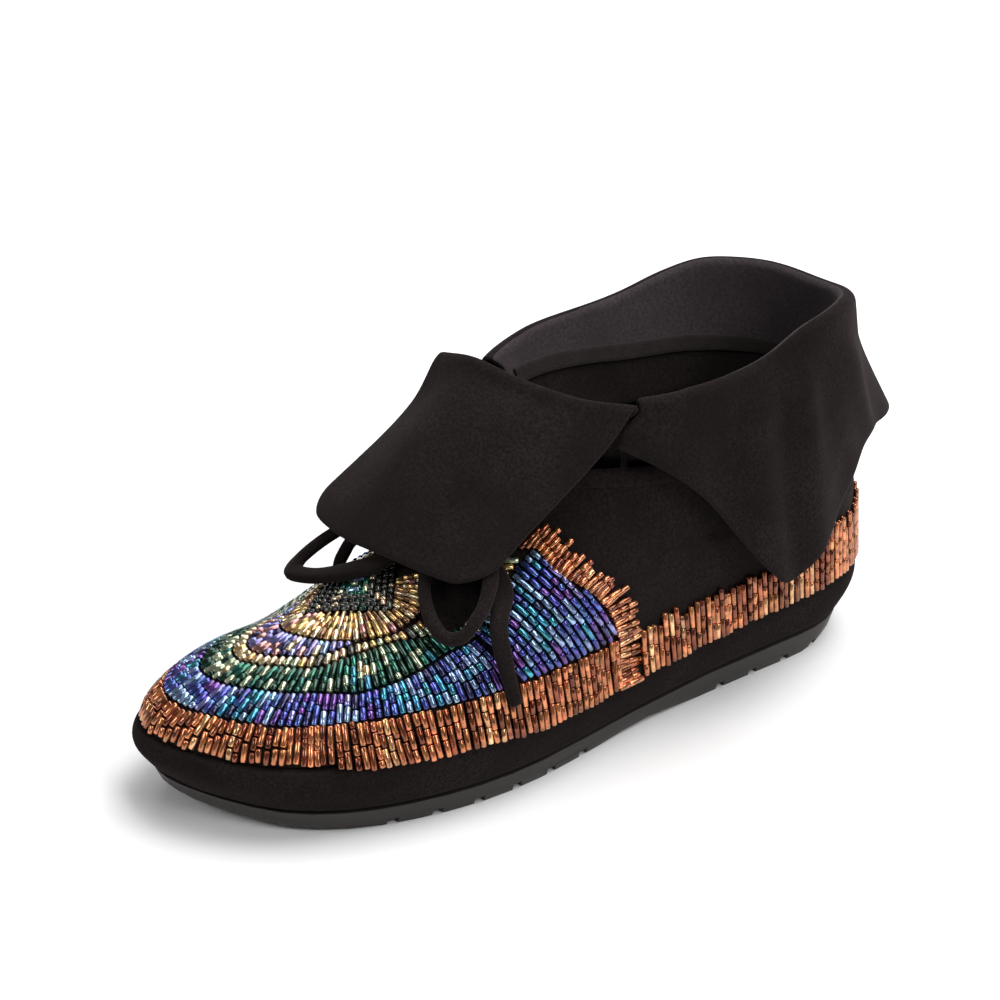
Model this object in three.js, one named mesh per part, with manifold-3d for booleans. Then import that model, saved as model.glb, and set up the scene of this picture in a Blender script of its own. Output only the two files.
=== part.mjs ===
// Lace-up moccasin ankle boot for the left foot, in millimetres.
// +Z is up, the toe points along -Y, and +X is the outer side of the foot.
// The origin lies on the floor under the middle of the heel.
// A station is the distance from the heel's back towards the toe, a share is a station over the length,
// and a turn is the angle round the boot from the heel's back, positive along the outer side.
import * as THREE from "three";
import { mergeVertices } from "three/addons/utils/BufferGeometryUtils.js";
import Module from "manifold-3d";

const wasm = await Module();
wasm.setup();

// Driving dimensions
const SOLE_LENGTH = 250;
const BALL_WIDTH = 88;
const HEEL_TO_ORIGIN = 36;
const UPPER_WALL = 2;
const SUEDE = 1.4;
const INSOLE_THICKNESS = 3;
const LACE_DIAMETER = 4.2;
const SEAM = 0.3;

// Mesh fineness: columns round a piece, rows up it, and the sides and step length of a round strand.
const COLUMNS = 64;
const UPPER_ROWS = 13;
const CUFF_COLUMNS = 44;
const CUFF_ROWS = { standing: 4, bend: 6, hanging: 8 };
const FLAP_COLUMNS = 18;
const FLAP_ROWS = { standing: 4, bend: 6, hanging: 9 };
const LACE_SIDES = 8;
const LACE_STEP = 4;
const KNOT_SIDES = 12;
const MERGE_DISTANCE = 1e-4;
const TURN_STEP = 0.02;

// Plan of the sole: centre line and half width, as shares of half the ball width.
const PLAN = smoothTable("share", [
  { share: 0.0, swing: 0.0, half: 0.75 },
  { share: 0.14, swing: 0.03, half: 0.747 },
  { share: 0.28, swing: 0.089, half: 0.748 },
  { share: 0.4, swing: 0.147, half: 0.772 },
  { share: 0.5, swing: 0.158, half: 0.851 },
  { share: 0.6, swing: 0.17, half: 0.943 },
  { share: 0.69, swing: 0.15, half: 0.991 },
  { share: 0.8, swing: 0.12, half: 0.955 },
  { share: 0.9, swing: 0.072, half: 0.945 },
  { share: 1.0, swing: -0.09, half: 0.84 },
]);
const HEEL_ROUND = 0.144;
const TOE_ROUND = 0.264;

// Heights above the floor along the sole: underside, joint of outsole and midsole, top edge of the midsole.
const HEIGHTS = smoothTable("share", [
  { share: 0.0, tread: 2.4, joint: 10.0, edge: 26.0 },
  { share: 0.06, tread: 0.0, joint: 8.6, edge: 26.0 },
  { share: 0.3, tread: 0.0, joint: 8.0, edge: 25.4 },
  { share: 0.4, tread: 1.5, joint: 7.4, edge: 24.4 },
  { share: 0.52, tread: 0.0, joint: 6.6, edge: 22.6 },
  { share: 0.8, tread: 0.0, joint: 6.6, edge: 21.8 },
  { share: 0.9, tread: 1.3, joint: 7.6, edge: 21.8 },
  { share: 1.0, tread: 4.2, joint: 10.4, edge: 23.0 },
]);

// Insets of the sole's rings from the plan, at the sides and at the two ends.
const TREAD_INSET = { side: 3.2, heel: 10, toe: 8 };
const TREAD_SHOULDER_INSET = { side: 2.4, heel: 7.6, toe: 6 };
const JOINT_INSET = { side: 2.0, heel: 5.2, toe: 4.4 };
const RIM_INSET = { side: 5.6, heel: 5.6, toe: 5.6 };
const INSOLE_INSET = { side: 6.1, heel: 6.1, toe: 6.1 };
const FEATHER_INSET = { side: 2.4, heel: 2.4, toe: 2.4 };
const TREAD_SHOULDER = 0.35;
const TRAY_FLOOR = 5;

// The midsole's bowed side, from the joint up to its top edge.
const MIDSOLE_SIDE = [
  { up: 0.0, inset: JOINT_INSET },
  { up: 0.3, inset: { side: 0.2, heel: 1.4, toe: 1.6 } },
  { up: 0.6, inset: { side: -1.0, heel: -1.0, toe: -1.2 } },
  { up: 0.86, inset: { side: -0.6, heel: -0.6, toe: -0.7 } },
  { up: 1.0, inset: { side: 0.4, heel: 0.4, toe: 0.4 } },
];

// Tread grooves across the outsole, one row for each flat spot.
const GROOVES = [
  { first: 17, pitch: 14, count: 5 },
  { first: 132, pitch: 13, count: 6 },
];
const GROOVE = { width: 3.2, depth: 2 };

// The topline of the upper, an egg in plan.
const COLLAR = { back: 7, front: 132, centre: 2.4, half: 33, backRound: 0.3, frontRound: 0.42 };

// How the upper's wall runs from the sole edge to the collar, from the heel to the toe:
// the collar share it meets, the collar's height, and the wall's own bow.
const WALL = smoothTable("share", [
  { share: 0.0, collar: 0.0, top: 86.0, bulge: 2.5, reach: 0.4 },
  { share: 0.12, collar: 0.18, top: 85.0, bulge: 2.2, reach: 0.5 },
  { share: 0.28, collar: 0.48, top: 82.5, bulge: 1.5, reach: 0.6 },
  { share: 0.42, collar: 0.7, top: 81.0, bulge: 1.2, reach: 0.6 },
  { share: 0.56, collar: 0.845, top: 81.0, bulge: 1.0, reach: 0.58 },
  { share: 0.7, collar: 0.93, top: 81.0, bulge: 1.0, reach: 0.56 },
  { share: 0.85, collar: 0.98, top: 81.5, bulge: 1.0, reach: 0.58 },
  { share: 1.0, collar: 1.0, top: 82.0, bulge: 1.0, reach: 0.62 },
]);
// How steeply the wall leaves the sole and how full its shoulder is, on the outer and inner sides.
const FULLNESS = smoothTable("share", [
  { share: 0.0, riseOuter: 0.35, riseInner: 0.35, shoulderOuter: 0.7, shoulderInner: 0.7 },
  { share: 0.28, riseOuter: 0.34, riseInner: 0.34, shoulderOuter: 0.68, shoulderInner: 0.68 },
  { share: 0.42, riseOuter: 0.33, riseInner: 0.3, shoulderOuter: 0.66, shoulderInner: 0.62 },
  { share: 0.56, riseOuter: 0.32, riseInner: 0.26, shoulderOuter: 0.54, shoulderInner: 0.48 },
  { share: 0.7, riseOuter: 0.31, riseInner: 0.24, shoulderOuter: 0.4, shoulderInner: 0.33 },
  { share: 0.85, riseOuter: 0.28, riseInner: 0.25, shoulderOuter: 0.32, shoulderInner: 0.28 },
  { share: 1.0, riseOuter: 0.28, riseInner: 0.28, shoulderOuter: 0.29, shoulderInner: 0.29 },
]);

// The fold line of the shaft, another egg in plan, and the fold's own radius.
const FOLD = { back: 16, front: 131, centre: 1, half: 34.5, backRound: 0.3, frontRound: 0.42 };
const FOLD_RADIUS = 2.2;
const SHAFT_FOOT = 74;
const SHAFT_INSET = 5.8;

// The cuff that hangs from the fold, by turn from the outer slit round the heel to the inner slit:
// height of the fold, length that hangs, its lean away from the boot in degrees,
// and how far it runs on towards the throat for each millimetre that it hangs.
const CUFF = smoothTable("turn", [
  { turn: -141, fold: 101, drop: 9, flare: 6, lead: 0.4 },
  { turn: -126, fold: 102.6, drop: 18, flare: 7, lead: 0.2 },
  { turn: -115, fold: 103.5, drop: 28, flare: 7.6, lead: 0.05 },
  { turn: -100, fold: 104.5, drop: 45, flare: 8, lead: 0 },
  { turn: -82, fold: 106.5, drop: 65, flare: 9, lead: 0 },
  { turn: -62, fold: 111, drop: 63, flare: 7, lead: 0 },
  { turn: -44, fold: 114.5, drop: 55, flare: 5, lead: 0 },
  { turn: -27, fold: 114.5, drop: 42, flare: 9, lead: 0 },
  { turn: 0, fold: 113, drop: 52, flare: 34, lead: 0 },
  { turn: 27, fold: 116, drop: 43, flare: 9, lead: 0 },
  { turn: 46, fold: 118, drop: 58, flare: 4.5, lead: 0 },
  { turn: 66, fold: 115.5, drop: 70, flare: 6, lead: 0 },
  { turn: 76, fold: 110.6, drop: 71, flare: 8, lead: 0 },
  { turn: 82, fold: 108, drop: 65.2, flare: 9, lead: 0 },
  { turn: 90, fold: 106.4, drop: 54.4, flare: 8.6, lead: 0 },
  { turn: 100, fold: 105, drop: 38.6, flare: 8, lead: 0 },
  { turn: 106, fold: 104.7, drop: 28.6, flare: 7.7, lead: 0.05 },
  { turn: 117, fold: 104, drop: 17.6, flare: 7, lead: 0.2 },
  { turn: 131, fold: 103, drop: 9, flare: 6, lead: 0.4 },
]);
const OUTER_SLIT = 131;
const INNER_SLIT = -141;
const SLIT_GAP = 3;

// The flap at the front, by share across from the outer edge to the inner edge:
// its crest at the fold, then its free edge and how far it sags between the two.
const FLAP_CREST = smoothTable("across", [
  { across: 0.0, side: 34.3, station: 112.2, height: 103.4 },
  { across: 0.25, side: 18, station: 118, height: 102 },
  { across: 0.5, side: 0, station: 124, height: 103 },
  { across: 0.75, side: -17, station: 129, height: 105.5 },
  { across: 1.0, side: -32, station: 131, height: 103 },
]);
const FLAP_EDGE = smoothTable("across", [
  { across: 0.0, side: 36.4, station: 158.5, height: 64.6, sag: 1.5 },
  { across: 0.1, side: 31.2, station: 167.2, height: 61.1, sag: 1.2 },
  { across: 0.25, side: 22.2, station: 171.2, height: 61.4, sag: 0 },
  { across: 0.5, side: 5.3, station: 176.8, height: 62.4, sag: -3 },
  { across: 0.75, side: -13, station: 180.8, height: 62.8, sag: 0 },
  { across: 0.92, side: -27, station: 180, height: 63, sag: 3.5 },
  { across: 1.0, side: -33.5, station: 173.5, height: 66.5, sag: 5 },
]);
const FLAP_FOOT = { inset: 7, height: 72, knee: 92 };
const FLAP_FOLD_LEAD = 1;
const FLAP_FOLD_REACH = 6;

// Lace routes as side, station and height, chosen by hand.
const LACE_BAR = [
  [20, 134, 76.2],
  [15, 141, 74.6],
  [8, 148, 72.2],
  [0, 152.5, 70.8],
  [-7, 148, 71],
  [-13, 141, 71.6],
  [-17, 134, 73.2],
];
const KNOT = { side: 0, station: 158, height: 69.5, length: 11, radius: 3.5 };
const KNOT_END = 0.7;
const KNOT_WAIST = 0.5;
const LOOP_OUTER = [
  [7.8, 158, 69.5],
  [12, 163, 66.5],
  [16, 168, 62],
  [20, 171.5, 57.5],
  [25, 174, 54],
  [31, 175.5, 51],
  [36.5, 175, 49],
  [40, 171.5, 50],
  [40, 167, 54],
  [38, 162.8, 57],
  [33.5, 158, 62.4],
  [26, 155, 67],
  [18, 154.5, 70.5],
  [10, 156, 72.5],
];
const LOOP_INNER = [
  [-7.8, 158.5, 69.8],
  [-13, 165, 67],
  [-19, 173, 62],
  [-23, 181, 57.5],
  [-25, 188, 53],
  [-22, 192, 51.5],
  [-15, 190.5, 52.5],
  [-8, 187, 54.5],
  [-2, 182, 56.8],
  [2, 176.5, 58.6],
  [3.5, 171, 61.2],
  [3.5, 165.5, 64.6],
];
const END_OUTER = [
  [9, 155, 66.8],
  [16, 156.5, 65.6],
  [24, 155, 63],
  [30.5, 153.8, 59.6],
  [36, 155.6, 56.4],
  [40, 159.2, 53.8],
  [43.5, 162, 50.5],
  [47, 163, 45],
  [50.4, 163, 38],
  [52.2, 162, 31.5],
];
const END_INNER = [
  [-9, 156, 66],
  [-12, 163, 62.5],
  [-15.5, 169.5, 58.5],
  [-18.5, 175, 54.5],
  [-22, 178, 49.5],
  [-26, 180.5, 45],
];

// Colours and finishes
const suede = new THREE.MeshStandardMaterial({ color: 0x221f20, roughness: 0.95, metalness: 0 });
const rubber = new THREE.MeshStandardMaterial({ color: 0x3a3738, roughness: 0.7, metalness: 0 });
const wrap = new THREE.MeshStandardMaterial({ color: 0x1b1918, roughness: 0.9, metalness: 0 });
const lining = new THREE.MeshStandardMaterial({ color: 0x2a2625, roughness: 0.8, metalness: 0 });
const cord = new THREE.MeshStandardMaterial({ color: 0x1e1c1c, roughness: 0.85, metalness: 0 });

// Reads a table at any place, on a curve through its rows that never overshoots them.
function smoothTable(key, rows) {
  const at = rows.map((row) => row[key]);
  const names = Object.keys(rows[0]).filter((name) => name !== key);
  const slopes = {};
  for (const name of names) {
    const rises = at.slice(1).map((x, i) => (rows[i + 1][name] - rows[i][name]) / (x - at[i]));
    slopes[name] = at.map((_, i) => {
      const before = rises[Math.max(i - 1, 0)];
      const after = rises[Math.min(i, rises.length - 1)];
      return before * after <= 0 ? 0 : (2 * before * after) / (before + after);
    });
  }
  return (place) => {
    const x = THREE.MathUtils.clamp(place, at[0], at.at(-1));
    const i = Math.max(0, Math.min(at.findLastIndex((a) => a <= x), at.length - 2));
    const width = at[i + 1] - at[i];
    const t = (x - at[i]) / width;
    const late = t * t * (3 - 2 * t);
    const read = {};
    for (const name of names) {
      const bend = slopes[name][i] * t * (1 - t) ** 2 - slopes[name][i + 1] * t * t * (1 - t);
      read[name] = rows[i][name] * (1 - late) + rows[i + 1][name] * late + bend * width;
    }
    return read;
  };
}

function place(side, station, height) {
  return new THREE.Vector3(side, HEEL_TO_ORIGIN - station, height);
}

// How much of the full width is left near a rounded end: both ends are quarter ellipses.
function roundedEnds(share, backRound, frontRound) {
  const near = Math.min(share / backRound, (1 - share) / frontRound, 1);
  return Math.sqrt(Math.max(0, 1 - (1 - near) ** 2));
}

function shareOfTurn(turn) {
  return (1 - Math.cos(turn)) / 2;
}

function sideOfTurn(turn) {
  return Math.sin(turn) >= 0 ? 1 : -1;
}

// A point of the sole's plan, drawn in by an inset.
function solePlan(turn, inset) {
  const share = shareOfTurn(turn);
  const { swing, half } = PLAN(share);
  const width = ((half * BALL_WIDTH) / 2 - inset.side) * roundedEnds(share, HEEL_ROUND, TOE_ROUND);
  return {
    share,
    side: (swing * BALL_WIDTH) / 2 + sideOfTurn(turn) * width,
    station: THREE.MathUtils.lerp(inset.heel, SOLE_LENGTH - inset.toe, share),
  };
}

// A point of an egg-shaped ring, drawn in by an inset.
function eggPlan(egg, share, sign, inset = 0) {
  const width = (egg.half - inset) * roundedEnds(share, egg.backRound, egg.frontRound);
  return {
    side: egg.centre + sign * width,
    station: THREE.MathUtils.lerp(egg.back + inset, egg.front - inset, share),
  };
}

function ringTurns() {
  return Array.from({ length: COLUMNS }, (_, j) => (2 * Math.PI * j) / COLUMNS);
}

function soleRing(inset, heightOf) {
  return ringTurns().map((turn) => {
    const at = solePlan(turn, inset);
    return place(at.side, at.station, heightOf(HEIGHTS(at.share)));
  });
}

// Closed geometry from points and triangles, turned so that its faces point out.
function closedGeometry(points, triangles) {
  let volume = 0;
  for (const [a, b, c] of triangles) {
    volume += points[a].dot(new THREE.Vector3().crossVectors(points[b], points[c]));
  }
  const facing = volume < 0 ? triangles.map(([a, b, c]) => [a, c, b]) : triangles;
  const geometry = new THREE.BufferGeometry().setFromPoints(points);
  geometry.setIndex(facing.flat());
  return geometry;
}

function quad(a, b, c, d) {
  return [
    [a, b, c],
    [a, c, d],
  ];
}

// A solid of stacked rings, capped at the first and last ring by strips from side to side.
function stackSolid(rings) {
  const triangles = [];
  const count = rings[0].length;
  rings.slice(1).forEach((_, i) => {
    for (let j = 0; j < count; j++) {
      const k = (j + 1) % count;
      triangles.push(...quad(i * count + j, i * count + k, (i + 1) * count + k, (i + 1) * count + j));
    }
  });
  const cap = (first, turned) => {
    for (let j = 0; j < count / 2; j++) {
      const [a, b] = [first + j, first + j + 1];
      const [c, d] = [first + ((count - j - 1) % count), first + ((count - j) % count)];
      for (const [p, q, r] of quad(a, b, c, d)) {
        if (p !== q && q !== r && p !== r) triangles.push(turned ? [p, r, q] : [p, q, r]);
      }
    }
  };
  cap(0, true);
  cap((rings.length - 1) * count, false);
  return closedGeometry(rings.flat(), triangles);
}

// A wall between two grids of points, closed along its edges.
// A wrapped grid joins its last column to its first.
function wallSolid(front, back, wrapped) {
  const rows = front.length;
  const columns = front[0].length;
  const points = [...front.flat(), ...back.flat()];
  const behind = rows * columns;
  const triangles = [];
  const at = (i, j) => i * columns + (j % columns);
  const spans = wrapped ? columns : columns - 1;
  for (let i = 0; i < rows - 1; i++) {
    for (let j = 0; j < spans; j++) {
      const corners = [at(i, j), at(i, j + 1), at(i + 1, j + 1), at(i + 1, j)];
      triangles.push(...quad(...corners));
      triangles.push(...quad(...corners.map((c) => c + behind).reverse()));
    }
  }
  const rim = (a, b) => triangles.push(...quad(b, a, a + behind, b + behind));
  for (let j = 0; j < spans; j++) {
    rim(at(0, j), at(0, j + 1));
    rim(at(rows - 1, j + 1), at(rows - 1, j));
  }
  if (!wrapped) {
    for (let i = 0; i < rows - 1; i++) {
      rim(at(i + 1, 0), at(i, 0));
      rim(at(i, columns - 1), at(i + 1, columns - 1));
    }
  }
  return closedGeometry(points, triangles);
}

// Unit normals of a grid, from its neighbours along rows and columns.
function gridNormals(grid, wrapped) {
  const rows = grid.length;
  const columns = grid[0].length;
  const column = (j) => (wrapped ? (j + columns) % columns : THREE.MathUtils.clamp(j, 0, columns - 1));
  const row = (i) => THREE.MathUtils.clamp(i, 0, rows - 1);
  return grid.map((line, i) =>
    line.map((_, j) => {
      const along = grid[i][column(j + 1)].clone().sub(grid[i][column(j - 1)]);
      const up = grid[row(i + 1)][j].clone().sub(grid[row(i - 1)][j]);
      return along.cross(up).normalize();
    }),
  );
}

function offsetGrid(grid, normals, distance) {
  return grid.map((line, i) => line.map((p, j) => p.clone().addScaledVector(normals[i][j], distance)));
}

// A sheet of even thickness on both sides of its middle surface.
function sheetSolid(grid, thickness) {
  const normals = gridNormals(grid, false);
  const front = offsetGrid(grid, normals, thickness / 2);
  const back = offsetGrid(grid, normals, -thickness / 2);
  return wallSolid(front, back, false);
}

// Columns of points as a grid of rows.
function rowsOf(lines) {
  return lines[0].map((_, i) => lines.map((line) => line[i]));
}

function solidOf(geometry) {
  const bare = geometry.index ? geometry.toNonIndexed() : geometry.clone();
  bare.deleteAttribute("normal");
  bare.deleteAttribute("uv");
  const merged = mergeVertices(bare, MERGE_DISTANCE);
  const vertProperties = new Float32Array(merged.attributes.position.array);
  return new wasm.Manifold(
    new wasm.Mesh({ numProp: 3, vertProperties, triVerts: new Uint32Array(merged.index.array) }),
  );
}

function geometryOf(solid) {
  const mesh = solid.getMesh();
  const geometry = new THREE.BufferGeometry();
  geometry.setAttribute("position", new THREE.BufferAttribute(new Float32Array(mesh.vertProperties), 3));
  geometry.setIndex(new THREE.BufferAttribute(new Uint32Array(mesh.triVerts), 1));
  return geometry;
}

function piece(name, geometry, material) {
  const mesh = new THREE.Mesh(geometry, material);
  mesh.name = name;
  return mesh;
}

// Outsole: a rubber tread with arch, toe spring, rolled ends and grooves that notch its edge.
function outsole() {
  const body = stackSolid([
    soleRing(TREAD_INSET, (h) => h.tread),
    soleRing(TREAD_SHOULDER_INSET, (h) => THREE.MathUtils.lerp(h.tread, h.joint, TREAD_SHOULDER)),
    soleRing(JOINT_INSET, (h) => h.joint - SEAM),
  ]);
  let solid = solidOf(body);
  for (const { first, pitch, count } of GROOVES) {
    for (let n = 0; n < count; n++) {
      const bar = new THREE.BoxGeometry(2 * BALL_WIDTH, GROOVE.width, 2 * GROOVE.depth);
      bar.translate(0, HEEL_TO_ORIGIN - first - n * pitch, 0);
      solid = solid.subtract(solidOf(bar));
    }
  }
  return piece("outsole", geometryOf(solid), rubber);
}

// Midsole: a suede-wrapped tray, its side bowed out, with a sunk floor for the insole.
function midsole() {
  const side = MIDSOLE_SIDE.map(({ up, inset }) => {
    return soleRing(inset, (h) => THREE.MathUtils.lerp(h.joint, h.edge, up));
  });
  const rim = soleRing(RIM_INSET, (h) => h.edge);
  const floor = soleRing(RIM_INSET, (h) => h.joint + TRAY_FLOOR);
  return piece("midsole", stackSolid([...side, rim, floor]), wrap);
}

function insole() {
  const body = stackSolid([
    soleRing(INSOLE_INSET, (h) => h.joint + TRAY_FLOOR + SEAM),
    soleRing(INSOLE_INSET, (h) => h.joint + TRAY_FLOOR + SEAM + INSOLE_THICKNESS),
  ]);
  return piece("insole", body, lining);
}

// One line of the upper's wall, from the sole edge to the collar, as a curve.
function upperLine(turn) {
  const foot = solePlan(turn, FEATHER_INSET);
  const wall = WALL(foot.share);
  const full = FULLNESS(foot.share);
  const outer = sideOfTurn(turn) > 0;
  const rise = outer ? full.riseOuter : full.riseInner;
  const shoulder = outer ? full.shoulderOuter : full.shoulderInner;
  const top = eggPlan(COLLAR, wall.collar, sideOfTurn(turn));
  const start = place(foot.side, foot.station, HEIGHTS(foot.share).edge + SEAM);
  const end = place(top.side, top.station, wall.top);
  const height = end.z - start.z;
  const away = new THREE.Vector3(Math.sin(turn), Math.cos(turn), 0).multiplyScalar(wall.bulge);
  const low = start.clone().add(away);
  low.z += height * rise;
  const high = start.clone().lerp(end, wall.reach);
  high.z = start.z + height * shoulder;
  return new THREE.CubicBezierCurve3(start, low, high, end);
}

// Upper: the moccasin's vamp and quarters, one hollow wall open at the collar and underneath.
function upper() {
  const outside = rowsOf(ringTurns().map((turn) => upperLine(turn).getPoints(UPPER_ROWS)));
  const normals = gridNormals(outside, true);
  const inside = offsetGrid(outside, normals, UPPER_WALL);
  inside[0].forEach((p, j) => p.setZ(outside[0][j].z));
  return piece("upper", wallSolid(outside, inside, true), suede);
}

// A point inside the collar, a point of the fold line, and the ways round the fold and out from it in plan.
function insideCollar(turn, inset, height) {
  const at = eggPlan(COLLAR, shareOfTurn(turn), sideOfTurn(turn), inset);
  return place(at.side, at.station, height);
}

function foldPoint(turn, height) {
  const at = eggPlan(FOLD, shareOfTurn(turn), sideOfTurn(turn));
  return place(at.side, at.station, height);
}

function wayRound(turn) {
  return foldPoint(turn + TURN_STEP, 0).sub(foldPoint(turn - TURN_STEP, 0)).normalize();
}

function wayOut(turn) {
  const along = wayRound(turn);
  return new THREE.Vector3(-along.y, along.x, 0);
}

// Shaft and cuff: one suede sheet that stands inside the collar, folds outwards and hangs.
function shaftCuff() {
  const slit = (SLIT_GAP / 2 / FOLD.half) * THREE.MathUtils.RAD2DEG;
  const lines = Array.from({ length: CUFF_COLUMNS + 1 }, (_, j) => {
    const degrees = THREE.MathUtils.lerp(OUTER_SLIT - slit, INNER_SLIT + slit, j / CUFF_COLUMNS);
    const turn = degrees * THREE.MathUtils.DEG2RAD;
    const { fold, drop, flare, lead } = CUFF(degrees);
    const lean = flare * THREE.MathUtils.DEG2RAD;
    const out = wayOut(turn);
    const ahead = wayRound(turn).multiplyScalar(sideOfTurn(turn) * lead);
    const foot = insideCollar(turn, SHAFT_INSET, SHAFT_FOOT);
    const shoulder = foldPoint(turn, fold - FOLD_RADIUS);
    const standing = new THREE.LineCurve3(foot, shoulder).getPoints(CUFF_ROWS.standing);
    const line = standing.slice(0, -1);
    for (let i = 0; i <= CUFF_ROWS.bend; i++) {
      const angle = Math.PI - (Math.PI * i) / CUFF_ROWS.bend;
      const p = shoulder.clone().addScaledVector(out, FOLD_RADIUS * (1 + Math.cos(angle)));
      p.z += FOLD_RADIUS * Math.sin(angle);
      line.push(p);
    }
    const from = line.at(-1);
    for (let i = 1; i <= CUFF_ROWS.hanging; i++) {
      const gone = (drop * i) / CUFF_ROWS.hanging;
      const p = from.clone().addScaledVector(out, gone * Math.sin(lean)).addScaledVector(ahead, gone);
      p.z -= gone * Math.cos(lean);
      line.push(p);
    }
    return line;
  });
  return piece("shaft_cuff", sheetSolid(rowsOf(lines), SUEDE), suede);
}

// Tongue and flap: one suede sheet that stands in the throat, folds forwards and hangs over the instep.
function tongueFlap() {
  const lines = Array.from({ length: FLAP_COLUMNS + 1 }, (_, j) => {
    const across = j / FLAP_COLUMNS;
    const top = FLAP_CREST(across);
    const end = FLAP_EDGE(across);
    const crest = place(top.side, top.station, top.height);
    const edge = place(end.side, end.station, end.height);
    const degrees = THREE.MathUtils.lerp(OUTER_SLIT, INNER_SLIT + 360, across);
    const turn = degrees * THREE.MathUtils.DEG2RAD;
    const foot = insideCollar(turn, FLAP_FOOT.inset, FLAP_FOOT.height);
    const knee = insideCollar(turn, FLAP_FOOT.inset, FLAP_FOOT.knee);
    const shoulder = crest.clone();
    shoulder.z -= FOLD_RADIUS;
    const away = edge.clone().sub(crest).normalize();
    const leave = crest.clone().addScaledVector(away, FLAP_FOLD_REACH);
    const foldTop = crest.clone().addScaledVector(away, FLAP_FOLD_LEAD);
    foldTop.z += FOLD_RADIUS;
    const rise = new THREE.QuadraticBezierCurve3(foot, knee, shoulder);
    const bend = new THREE.QuadraticBezierCurve3(shoulder, foldTop, leave);
    const line = rise.getPoints(FLAP_ROWS.standing).slice(0, -1);
    line.push(...bend.getPoints(FLAP_ROWS.bend));
    for (let i = 1; i <= FLAP_ROWS.hanging; i++) {
      const gone = i / FLAP_ROWS.hanging;
      const p = leave.clone().lerp(edge, gone);
      p.z -= end.sag * Math.sin(Math.PI * Math.sqrt(gone));
      line.push(p);
    }
    return line;
  });
  return piece("tongue_flap", sheetSolid(rowsOf(lines), SUEDE), suede);
}

// A lace strand: a many-sided tube along a smooth route.
function strand(name, route) {
  const path = new THREE.CatmullRomCurve3(route.map((p) => place(...p)));
  const corners = Array.from({ length: LACE_SIDES }, (_, k) => {
    const angle = (2 * Math.PI * k) / LACE_SIDES;
    return new THREE.Vector2(Math.cos(angle), Math.sin(angle)).multiplyScalar(LACE_DIAMETER / 2);
  });
  const steps = Math.round(path.getLength() / LACE_STEP);
  const tube = new THREE.ExtrudeGeometry(new THREE.Shape(corners), { steps, extrudePath: path });
  return piece(name, tube, cord);
}

// The knot: a short fat roll across the instep, where the two loops and the two ends meet.
function laceKnot() {
  const half = KNOT.length / 2;
  const profile = [
    [0, -half],
    [KNOT.radius * KNOT_END, -half],
    [KNOT.radius, -half * KNOT_WAIST],
    [KNOT.radius, half * KNOT_WAIST],
    [KNOT.radius * KNOT_END, half],
    [0, half],
  ].map(([r, y]) => new THREE.Vector2(r, y));
  const knot = piece("lace_knot", new THREE.LatheGeometry(profile, KNOT_SIDES), cord);
  knot.rotation.z = Math.PI / 2;
  knot.position.copy(place(KNOT.side, KNOT.station, KNOT.height));
  return knot;
}

const boot = new THREE.Group();
boot.add(outsole(), midsole(), insole(), upper(), shaftCuff(), tongueFlap());
boot.add(strand("lace_bar", LACE_BAR), laceKnot());
boot.add(strand("lace_loop_outer", LOOP_OUTER), strand("lace_loop_inner", LOOP_INNER));
boot.add(strand("lace_end_outer", END_OUTER), strand("lace_end_inner", END_INNER));

export default boot;
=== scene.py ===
import math
import random

import bmesh
import bpy
import numpy as np
from mathutils import Matrix, Vector, noise
from mathutils.bvhtree import BVHTree


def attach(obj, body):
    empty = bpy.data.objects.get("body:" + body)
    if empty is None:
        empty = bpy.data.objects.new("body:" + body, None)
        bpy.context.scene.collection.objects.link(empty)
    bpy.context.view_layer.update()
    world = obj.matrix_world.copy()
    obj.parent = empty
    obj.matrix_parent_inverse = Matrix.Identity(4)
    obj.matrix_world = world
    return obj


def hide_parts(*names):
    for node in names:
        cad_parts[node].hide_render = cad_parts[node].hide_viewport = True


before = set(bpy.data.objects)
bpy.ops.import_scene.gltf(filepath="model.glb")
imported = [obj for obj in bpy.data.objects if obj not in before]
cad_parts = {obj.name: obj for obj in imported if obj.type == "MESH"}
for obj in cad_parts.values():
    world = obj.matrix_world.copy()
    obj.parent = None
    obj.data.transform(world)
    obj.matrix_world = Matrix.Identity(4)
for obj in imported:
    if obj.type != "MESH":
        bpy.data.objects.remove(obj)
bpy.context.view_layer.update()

bl_info = {
    "name": "Moccasin boot",
    "version": (1, 0, 0),
    "blender": (4, 5, 0),
    "location": "View3D > Sidebar > Boot",
    "description": "Suede, glass beads, lace and stage of a fold-over moccasin boot",
    "category": "Object",
}

# Lengths are in metres. A station is the distance from the back of the heel towards the toe.
HEEL_TO_ORIGIN = 0.036
UP = Vector((0, 0, 1))


def place(side, station, height):
    """The point at a distance to the outer side, a station and a height."""
    return Vector((side, HEEL_TO_ORIGIN - station, height))


def tone(red, green, blue):
    """A screen colour of 0 to 255 as the linear colour that shaders use."""
    linear = []
    for value in (red, green, blue):
        share = value / 255
        linear.append(share / 12.92 if share <= 0.04045 else ((share + 0.055) / 1.055) ** 2.4)
    return tuple(linear)


def lit(shade, gain):
    """A colour made lighter or darker."""
    return tuple(min(1.0, value * gain) for value in shade)


def length_setting(label, text, value):
    """A length that a user may change."""
    return bpy.props.FloatProperty(
        name=label, description=text, default=value, min=0.0001, subtype="DISTANCE", unit="LENGTH"
    )


def colour_setting(label, text, red, green, blue):
    """A colour that a user may change."""
    return bpy.props.FloatVectorProperty(
        name=label, description=text, default=tone(red, green, blue), size=3, min=0, max=1, subtype="COLOR"
    )


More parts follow.
